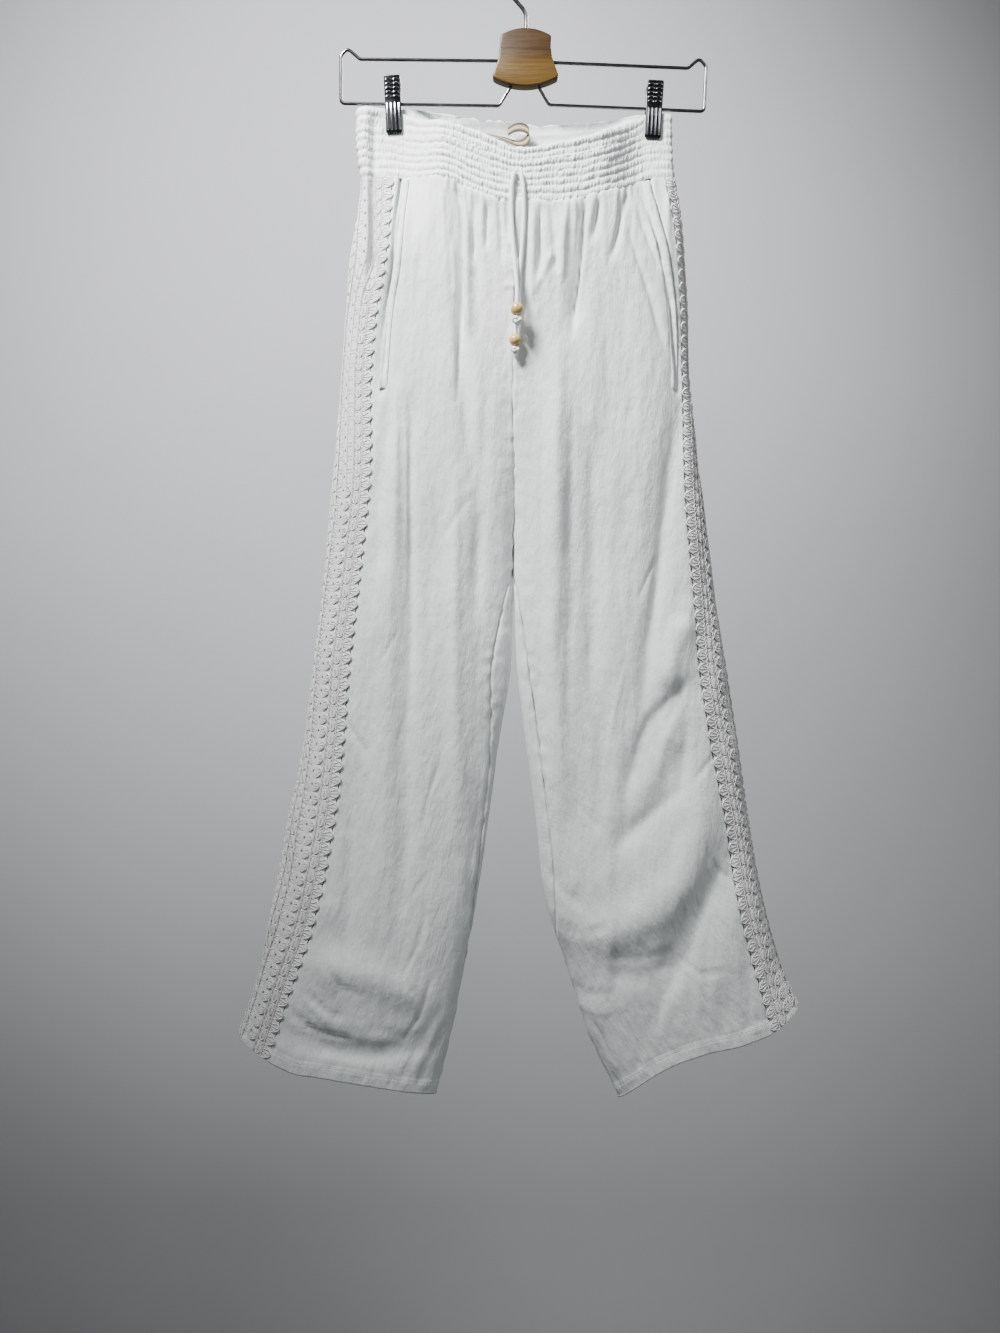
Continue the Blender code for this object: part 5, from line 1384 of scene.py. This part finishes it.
def round_noise(at, step, other, seed):
    """Soft noise along the waistband that meets itself where the loop closes."""
    total = 2.0 * at[:, -1:] - at[:, -2:-1]
    share = ease(at, total - 0.030, total)
    return ((1.0 - share) * soft_noise(at / step + 60, other, seed)
            + share * soft_noise((at - total) / step + 60, other, seed))


def ruching(at, v, seed):
    """Small upright ridges of uneven pitch in one channel, sharp in the hollows between."""
    rng = np.random.default_rng(seed)
    rounds = 2.0 * at[:, -1:] - at[:, -2:-1]
    total = float(np.mean(rounds))
    edges = [0.0]
    while edges[-1] < total:
        edges.append(edges[-1] + rng.uniform(0.0020, 0.0046))
    edges = np.array(edges) * total / edges[-1]
    heights = rng.uniform(0.35, 1.0, len(edges))
    starts = rng.uniform(-0.5, 0.5, len(edges))
    bow = 0.0013 * round_noise(at, 0.009, v * 1.6 + 3, seed + 5)
    place = np.mod(at * total / rounds + bow, total)
    index = np.clip(np.searchsorted(edges, place) - 1, 0, len(edges) - 2)
    within = (place - edges[index]) / (edges[index + 1] - edges[index])
    reach = np.cos(math.pi * np.clip(v - 0.5 + starts[index] * 0.35, -0.5, 0.5)) ** 0.4
    return arch(within, 0.6) * heights[index] * reach


def jaw_hold(points):
    """1 under a clip's jaw, where the cloth is pressed flat, 0 clear of it."""
    held = np.zeros(points.shape[:2])
    for side in SIDES:
        drop = -points[..., 2] - CLIP_TOP[side]
        middle = CLIP_X[side] + (drop - CLIP_HEIGHT / 2) * math.radians(CLIP_LEAN[side])
        across = 1.0 - ease(np.abs(points[..., 0] - middle), 0.0085, 0.0130)
        down = 1.0 - ease(drop, CLIP_HEIGHT + 0.0010, CLIP_HEIGHT + 0.0060)
        held = np.maximum(held, across * down)
    return held


def band_relief(points, at, v, free):
    """Puffed channels, their ruched ridges, the pinched lines and the long tuck."""
    lift = np.zeros(at.shape)
    wander = 0.038 * round_noise(at, 0.042, np.full_like(at, 2.0), 5)
    place = np.clip(v[:, None] + wander * arch(v)[:, None], 0.0, 1.0)
    for k, (low, high) in enumerate(zip(CHANNEL_LINES[:-1], CHANNEL_LINES[1:])):
        within = np.clip((place - low) / (high - low), 0.0, 1.0)
        puff = arch(within, 0.7)
        ridge = ruching(at, within, 90 + k // 2 * 7)
        coarse = round_noise(at, 0.0075, within * 0.8 + 5 * k, 97)
        made = 0.0006 * puff + 0.0019 * ridge * (0.50 + 0.50 * puff) + 0.0008 * coarse * puff
        lift = np.where((place >= low) & (place <= high), made + 0.0002 * (k % 2 == 0), lift)
    for middle, height in ((0.262, 0.0013), (0.500, 0.0008)):
        line = middle + 0.014 * np.sin(10.0 * math.pi * at / (at[:, -1:] + 0.0008) + middle * 40)
        uneven = 0.7 + 0.6 * round_noise(at, 0.0028, place * 20.0, 98)
        lift += height * hill(place - line, 0.015) * uneven
    side = hill(points[..., 0] + 0.151, 0.0045) * (points[..., 1] < 0.0)
    top = ease(place, 0.0, 0.05)
    foot = 1.0 - 0.5 * ease(place, 0.95, 1.0)
    lift = lift * (0.35 + 0.65 * top) * foot * (1.0 - jaw_hold(points)) * (0.60 + 0.40 * free)
    return lift - 0.0030 * side * ease(v, 0.05, 0.25)[:, None]


def make_waistband():
    """The shirred band and its lining, in one closed round of rows."""
    v = np.concatenate([(0.0, 0.015), np.linspace(0.03, 1.0, 64)])
    points, out, free, at = even_loop(v)
    outer = points + out * band_relief(points, at, v, free)[..., None]
    ruffle = 0.0011 * round_noise(at, 0.0052, np.full_like(at, 4.0), 33) * free
    frill = 0.0010 * round_noise(at, 0.0045, np.full_like(at, 6.0), 35) - 0.0006
    outer[..., 2] += ruffle * hill(v, 0.05)[:, None] + frill * hill(1.0 - v, 0.05)[:, None]
    lining_v = np.concatenate([np.linspace(0.0, 0.46, 26), (0.6, 0.8, 1.0)])
    inner, inner_out, inner_free, inner_at = even_loop(lining_v)
    gathered = band_relief(inner, inner_at, lining_v, inner_free)
    inner = inner + inner_out * (0.5 * gathered - 0.0020)[..., None]
    inner[:1, :, 2] += ruffle[:1] - 0.0004
    flat = np.concatenate([outer[::-1], inner]).reshape(-1, 3)
    ways = np.concatenate([out[::-1], -inner_out]).reshape(-1, 3)
    down = np.concatenate([v[::-1], -lining_v]) * BAND_LENGTH
    faces = facing_out(flat, grid_faces(len(down), BAND_COLUMNS, True), ways)
    uv = np.stack(np.broadcast_arrays(at[:1], down[:, None]), axis=-1).reshape(-1, 2)
    band = point_piece("shirred_band", flat, faces, SHIRRING, uv)
    settle(band, "cloth", "waistband")
    tall = float(np.mean(run_length(points.swapaxes(0, 1))[:, -1]))


make_waistband()


# ---- label -----------------------------------------------------------------------------------

# places down the ribbon's middle and the way its width points there
LABEL_ROWS = np.array((
    ((-0.0390, 0.0090, -0.1660), (0.0, 0.92, 0.38)),
    ((-0.0290, 0.0080, -0.1690), (0.0, 0.86, 0.50)),
    ((-0.0190, 0.0065, -0.1730), (0.0, 0.76, 0.65)),
    ((-0.0100, 0.0040, -0.1775), (-0.10, 0.64, 0.76)),
    ((-0.0020, 0.0010, -0.1780), (-0.24, 0.52, 0.82)),
    ((0.0030, 0.0000, -0.1730), (-0.16, 0.42, 0.89)),
    ((0.0025, 0.0010, -0.1665), (0.0, 0.34, 0.94)),
    ((-0.0040, 0.0025, -0.1620), (0.0, 0.30, 0.95)),
    ((-0.0120, 0.0035, -0.1625), (0.0, 0.34, 0.94)),
    ((-0.0180, 0.0040, -0.1660), (0.0, 0.45, 0.89))))


def make_label():
    """The bare ribbon loop inside the back of the waistband."""
    rows = 80
    places, ways = LABEL_ROWS[:, 0], LABEL_ROWS[:, 1]
    middle = smooth_route(places, rows) + (0.0, 0.0, 0.0028)
    along = run_length(places)
    at = np.linspace(0.0, along[-1], rows)
    width = unit(np.stack([smooth_curve(along, ways[:, k], at) for k in range(3)], axis=1))
    across = np.linspace(-RIBBON_WIDTH / 2, RIBBON_WIDTH / 2, 13)
    run = run_length(middle)
    points = middle[:, None] + width[:, None] * across[:, None]
    normals = np.cross(unit(np.gradient(middle, axis=0)), width)
    normals = np.broadcast_to(normals[:, None], points.shape)
    wave = 0.0002 * np.sin(run / 0.004)[:, None] * np.cos(across / 0.0035)
    uv = np.stack(np.broadcast_arrays(across[None, :], run[:, None]), axis=-1)
    label = cloth_grid("ribbon_label", points + normals * wave[..., None], normals, uv, RIBBON,
                       THIN_WALL, 0.0)
    settle(label, "label", "label")


make_label()


# ---- hanger, seen from the front as (x, z) ---------------------------------------------------

WIRE_CORNERS = {
    "left": ((-0.0235, -0.0940), (-0.1660, -0.0923), (-0.1785, -0.0815), (-0.1850, -0.0885),
             (-0.1850, -0.1365), (-0.0270, -0.1390), (-0.0130, -0.1160)),
    "right": ((0.0225, -0.0955), (0.1620, -0.1013), (0.1735, -0.0915), (0.1800, -0.0995),
              (0.1780, -0.1445), (0.0230, -0.1380), (0.0105, -0.1165)),
}
HOOK_STEM = ((0.0, -0.0740), (0.0, -0.0600), (0.0, -0.0480), (-0.0030, -0.0420),
             (-0.0088, -0.0352))
PLATE_LEFT = ((-0.0250, -0.0700), (-0.0260, -0.0780), (-0.0275, -0.0930), (-0.0325, -0.1080),
              (-0.0335, -0.1115), (-0.0310, -0.1140))
PLATE_RIGHT = ((0.0250, -0.0710), (0.0247, -0.0830), (0.0270, -0.0960), (0.0315, -0.1080),
               (0.0325, -0.1110), (0.0300, -0.1135))
PLATE_TOP_RISE = 0.0070
PLATE_FOOT_SAG = 0.0075
PLATE_MIDDLE = -0.095


def rounded_run(corners, radius=0.0045, steps=8):
    """A run of straight wire with each corner bent round."""
    points = [Vector((x, 0.0, z)) for x, z in corners]
    run = [points[0]]
    for before, corner, after in zip(points[:-2], points[1:-1], points[2:]):
        back, ahead = before - corner, after - corner
        reach = min(radius / math.tan(back.angle(ahead) / 2), back.length * 0.48,
                    ahead.length * 0.48)
        start = corner + back.normalized() * reach
        end = corner + ahead.normalized() * reach
        for step in range(steps + 1):
            t = step / steps
            run.append(start * (1 - t) ** 2 + corner * 2 * t * (1 - t) + end * t * t)
    return run + [points[-1]]


def wire_piece(name, run, radius):
    """Bent wire of round section along a run of points, with closed ends."""
    line = bpy.data.curves.new(name, "CURVE")
    line.dimensions = "3D"
    line.bevel_depth = radius
    line.bevel_resolution = 4
    line.use_fill_caps = True
    spline = line.splines.new("POLY")
    spline.points.add(len(run) - 1)
    for point, place in zip(spline.points, run):
        point.co = (*place, 1.0)
    spline.use_smooth = True
    pick_out(add_object(name, line))
    bpy.ops.object.convert(target="MESH")
    return finish_shape(bpy.context.object, WIRE, 60.0)


def hook_run():
    """Stem out of the plate, a bend to the left and the round crook."""
    centre = HOOK_RADIUS - HOOK_BEND
    crook = [(HOOK_BEND * math.cos(angle), centre + HOOK_BEND * math.sin(angle))
             for angle in np.radians(np.linspace(217.0, -38.0, 30))]
    return [(x, 0.0, z) for x, z in (*HOOK_STEM, *crook)]


def plate_outline():
    """The plate seen from the front: two shaped sides, an arched top and a sagging foot."""
    share = np.linspace(0.0, 1.0, 15)[:, None]
    left, right = (smooth_route([(x, 0.0, z) for x, z in side], 16)[:, ::2]
                   for side in (PLATE_LEFT, PLATE_RIGHT))

    def bowed(start, end, rise):
        return start + (end - start) * share + 4.0 * share * (1.0 - share) * (0.0, rise)

    top = bowed(left[0], right[0], PLATE_TOP_RISE)
    foot = bowed(right[-1], left[-1], -PLATE_FOOT_SAG)
    return np.concatenate([top, right[1:], foot[1:], left[::-1][1:-1]])


def make_plate():
    """The wooden plate: its outline filled, drawn out to its thickness and its edges eased."""
    outline = plate_outline()
    bpy.ops.mesh.primitive_circle_add(vertices=len(outline), radius=0.03, fill_type="NGON",
                                      location=(0.0, -PLATE_THICK / 2, PLATE_MIDDLE),
                                      rotation=(math.pi / 2, 0.0, 0.0))
    plate = rename("hanger_plate_wood")
    bpy.ops.object.transform_apply()
    order = sorted(plate.data.vertices,
                   key=lambda vert: -math.atan2(vert.co.x - 1e-9, vert.co.z - PLATE_MIDDLE))
    start = max(range(len(order)), key=lambda k: -abs(order[k].co.x) + order[k].co.z)
    top = max(range(len(outline)), key=lambda k: outline[k, 1])
    for k in range(len(order)):
        x, z = outline[(top + k) % len(outline)]
        order[(start - k) % len(order)].co = (x, -PLATE_THICK / 2, z)
    edit_all()
    bpy.ops.mesh.extrude_region_move(TRANSFORM_OT_translate={"value": (0.0, PLATE_THICK, 0.0)})
    bpy.ops.mesh.select_all(action="SELECT")
    bpy.ops.mesh.normals_make_consistent(inside=False)
    ease_edges(plate, 1.2, 0.0026, 5,
               lambda edge: abs(edge.verts[0].co.y - edge.verts[1].co.y) < 1e-6,
               clamp_overlap=True)
    return finish_shape(plate, WOOD, 40.0)


def make_hanger():
    """Hook, wooden plate and the two bent wire arms."""
    settle(wire_piece("hook_wire", hook_run(), HOOK_RADIUS), "chrome", "hanger_hook")
    for side, corners in WIRE_CORNERS.items():
        arm = wire_piece(f"arm_wire_{side}", rounded_run(corners), WIRE_RADIUS)
        settle(arm, "chrome", f"hanger_wire_{side}")
    settle(make_plate(), "wood", "hanger_plate")


make_hanger()


# ---- clips -----------------------------------------------------------------------------------

# drop from the clip's top, depth of the jaw's outer face and of its inner face
JAW_ROWS = ((0.0000, 0.0098, 0.0068), (0.0090, 0.0082, 0.0052), (0.0210, 0.0068, 0.0037),
            (0.0240, 0.0065, 0.0035), (0.0520, 0.0067, 0.0035), (0.0555, 0.0064, 0.0035))


def make_jaw_plate():
    """One pressed jaw, drawn down row by row from a strip, upright about the origin."""
    rows = [(drop, (outer + inner) / 2, outer - inner) for drop, outer, inner in JAW_ROWS]
    top = (0.0, -rows[0][1], 0.0)
    bpy.ops.mesh.primitive_plane_add(size=1.0, location=top)
    jaw = rename("jaw")
    bpy.ops.transform.resize(value=(CLIP_WIDTH, rows[0][2], 1.0), center_override=top)
    bpy.ops.object.transform_apply()
    edit_all()
    for (above, back, thick), (below, next_back, next_thick) in zip(rows[:-1], rows[1:]):
        bpy.ops.mesh.extrude_region_move(
            TRANSFORM_OT_translate={"value": (0.0, back - next_back, above - below)})
        bpy.ops.transform.resize(value=(1.0, next_thick / thick, 1.0),
                                 center_override=(0.0, -next_back, -below))
    bpy.ops.mesh.select_all(action="SELECT")
    bpy.ops.mesh.normals_make_consistent(inside=False)
    ease_edges(jaw, 0.8, 0.0009, 3)
    return finish_shape(jaw, CLIP_DARK_REFLECTION_PLATING, 40.0)


def make_rib():
    """One raised upright rib of a jaw's lower part, round ended, its plating lighter as painted
    highlight.
    """
    bpy.ops.mesh.primitive_cylinder_add(vertices=14, radius=0.0012, depth=0.0270,
                                        location=(0.0, -0.0064, -0.0400))
    rib = rename("rib")
    pick(rib, lambda face: abs(face.normal.z) > 0.9, "FACE")
    bpy.ops.mesh.inset(thickness=0.0004)
    ease_edges(rib, 1.0, 0.0006, 3)
    return finish_shape(rib, CLIP_HIGHLIGHT_PLATING, 50.0)


def make_arch():
    """One raised thumb grip: the upper half of a flattened ring, its plating lighter as painted
    highlight.
    """
    bpy.ops.mesh.primitive_torus_add(major_segments=20, minor_segments=8, major_radius=0.0026,
                                     minor_radius=0.00075, location=(0.0, 0.0, 0.0),
                                     rotation=(math.pi / 2, 0.0, 0.0))
    grip = rename("arch")
    bpy.ops.object.transform_apply()
    edit_all()
    bpy.ops.mesh.bisect(plane_co=(0.0, 0.0, -0.0002), plane_no=(0.0, 0.0, -1.0),
                        clear_outer=True, use_fill=True)
    bpy.ops.mesh.select_all(action="SELECT")
    bpy.ops.transform.resize(value=(1.0, 0.9, 0.62), center_override=(0.0, 0.0, 0.0))
    return finish_shape(grip, CLIP_HIGHLIGHT_PLATING, 50.0)


def make_tooth():
    """One gripping tooth of the jaw's foot: a wedge with an eased edge."""
    bpy.ops.mesh.primitive_cube_add(size=1.0, location=(0.0, -0.0049, -0.0556),
                                    scale=(0.0020, 0.0026, 0.0022))
    tooth = rename("tooth")
    bpy.ops.object.transform_apply()
    pick(tooth, lambda face: face.normal.z < -0.9, "FACE")
    bpy.ops.transform.resize(value=(0.25, 0.8, 1.0), center_override=(0.0, -0.0049, -0.0567))
    ease_edges(tooth, 0.8, 0.0002, 2)
    return finish_shape(tooth, CLIP_DARK_REFLECTION_PLATING, 40.0)


def copy_at(piece, move):
    """A copy with its own mesh, moved by a matrix."""
    twin = piece.copy()
    twin.data = piece.data.copy()
    bpy.context.scene.collection.objects.link(twin)
    twin.data.transform(move)
    return twin


def make_jaw(name):
    """A whole jaw: its plate, four ribs, two columns of thumb grips and a row of teeth."""
    pieces = [make_jaw_plate()]
    rib = make_rib()
    places = [(rib, ((k - 1.5) * 0.0039, 0.0, 0.0)) for k in range(4)]
    grip = make_arch()
    drops, depths, _ = zip(*JAW_ROWS)
    for row in range(5):
        drop = 0.0035 + 0.0040 * row
        depth = float(np.interp(drop, drops, depths))
        places += [(grip, (x, -depth, -drop - 0.0010)) for x in (-0.0037, 0.0037)]
    tooth = make_tooth()
    places += [(tooth, ((k - 2.5) * 0.0025, 0.0, 0.0)) for k in range(6)]
    pieces += [copy_at(pattern, Matrix.Translation(place)) for pattern, place in places]
    for pattern in (rib, grip, tooth):
        bpy.data.objects.remove(pattern)
    pick_out(*pieces)
    bpy.ops.object.join()
    bpy.ops.object.select_all(action="DESELECT")
    return rename(name)


def place_on_clip(side, turned):
    """The move from an upright jaw about the origin to its place on the hanger."""
    return (Matrix.Translation((CLIP_X[side], 0.0, -CLIP_TOP[side] - CLIP_HEIGHT / 2))
            @ Matrix.Rotation(-math.radians(CLIP_LEAN[side]), 4, "Y")
            @ Matrix.Rotation(turned, 4, "Z")
            @ Matrix.Translation((0.0, 0.0, CLIP_HEIGHT / 2)))


def make_spring(side):
    """The clip's spring: close turns of thin wire round the lower bar of the arm."""
    (x0, z0), (x1, z1) = WIRE_CORNERS[side][4:6]
    slope = (z1 - z0) / (x1 - x0)
    bar = z0 + (CLIP_X[side] - x0) * slope
    turns = 7
    step = np.linspace(0.0, 1.0, turns * 14 + 1)
    angle = 2.0 * math.pi * turns * step
    along = (step - 0.5) * 0.0094
    run = np.stack([CLIP_X[side] + along, 0.0026 * np.cos(angle),
                    bar + slope * along + 0.0026 * np.sin(angle)], axis=1)
    return wire_piece(f"clip_spring_{side}", run.tolist(), 0.00058)


def make_clips():
    """Both clips: front and back jaw and the spring between them."""
    pattern = make_jaw("jaw_pattern")
    for side in SIDES:
        for jaw, turned in (("front", 0.0), ("back", math.pi)):
            piece = copy_at(pattern, place_on_clip(side, turned))
            piece.name = piece.data.name = f"clip_jaw_{side}_{jaw}"
            settle(piece, "chrome", f"clip_{side}_{jaw}")
        settle(make_spring(side), "chrome", f"clip_{side}_spring")
    bpy.data.objects.remove(pattern)


make_clips()


# ---- light, backdrop and floor ---------------------------------------------------------------

def add_light(name, kind, place, aim, power, **settings):
    """A soft light aimed at a place."""
    lamp = bpy.data.lights.new(name, kind)
    lamp.energy = power
    for setting, value in settings.items():
        setattr(lamp, setting, value)
    light = add_object(name, lamp)
    light.location = place
    light.rotation_euler = (Vector(aim) - Vector(place)).to_track_quat("-Z", "Y").to_euler()


def soft_spot(name, place, aim, cone, size, power):
    """A round light whose beam, cone degrees wide, fades softly to its edge."""
    add_light(name, "SPOT", place, aim, power, spot_size=math.radians(cone), spot_blend=1.0,
              shadow_soft_size=size)


def make_studio():
    """Floor and backdrop in one soft sweep, a broad key light and a weaker fill."""
    profile = [(-4.5, -3.4), (1.8, -3.4)]
    for angle in np.radians(np.linspace(-90.0, 0.0, 13)):
        profile.append((1.8 + math.cos(angle), -2.4 + math.sin(angle)))
    profile.append((2.8, 3.2))
    verts = [(x, y, z) for y, z in profile for x in (-5.0, 5.0)]
    faces = [(k, k + 1, k + 3, k + 2) for k in range(0, 2 * len(profile) - 2, 2)]
    point_piece("studio_sweep", verts, faces, paper_finish())
    soft_spot("key light", (-0.62, -0.72, 0.62), (-0.07, 0.0, -0.22), 60.0, 0.20, 146.0)
    add_light("fill light", "AREA", (1.6, -1.5, 0.9), (0.1, 0.0, -0.4), 12.0,
              shape="RECTANGLE", size=1.2, size_y=1.2)
    soft_spot("backdrop light", (-0.40, -0.40, 1.50), (-0.42, 2.8, 0.36), 84.0, 0.40, 640.0)
    soft_spot("back light", (0.5, 2.1, 0.9), (0.0, 0.0, -0.45), 44.0, 0.35, 95.0)
    world = bpy.data.worlds.new("studio")
    world.use_nodes = True
    sky = world.node_tree.nodes["Background"].inputs
    sky["Color"].default_value = (0.93, 0.96, 1.0, 1.0)
    sky["Strength"].default_value = 0.11
    scene = bpy.context.scene
    scene.world = world
    scene.view_settings.look = "AgX - Medium High Contrast"
    scene.view_settings.exposure = 0.35


make_studio()
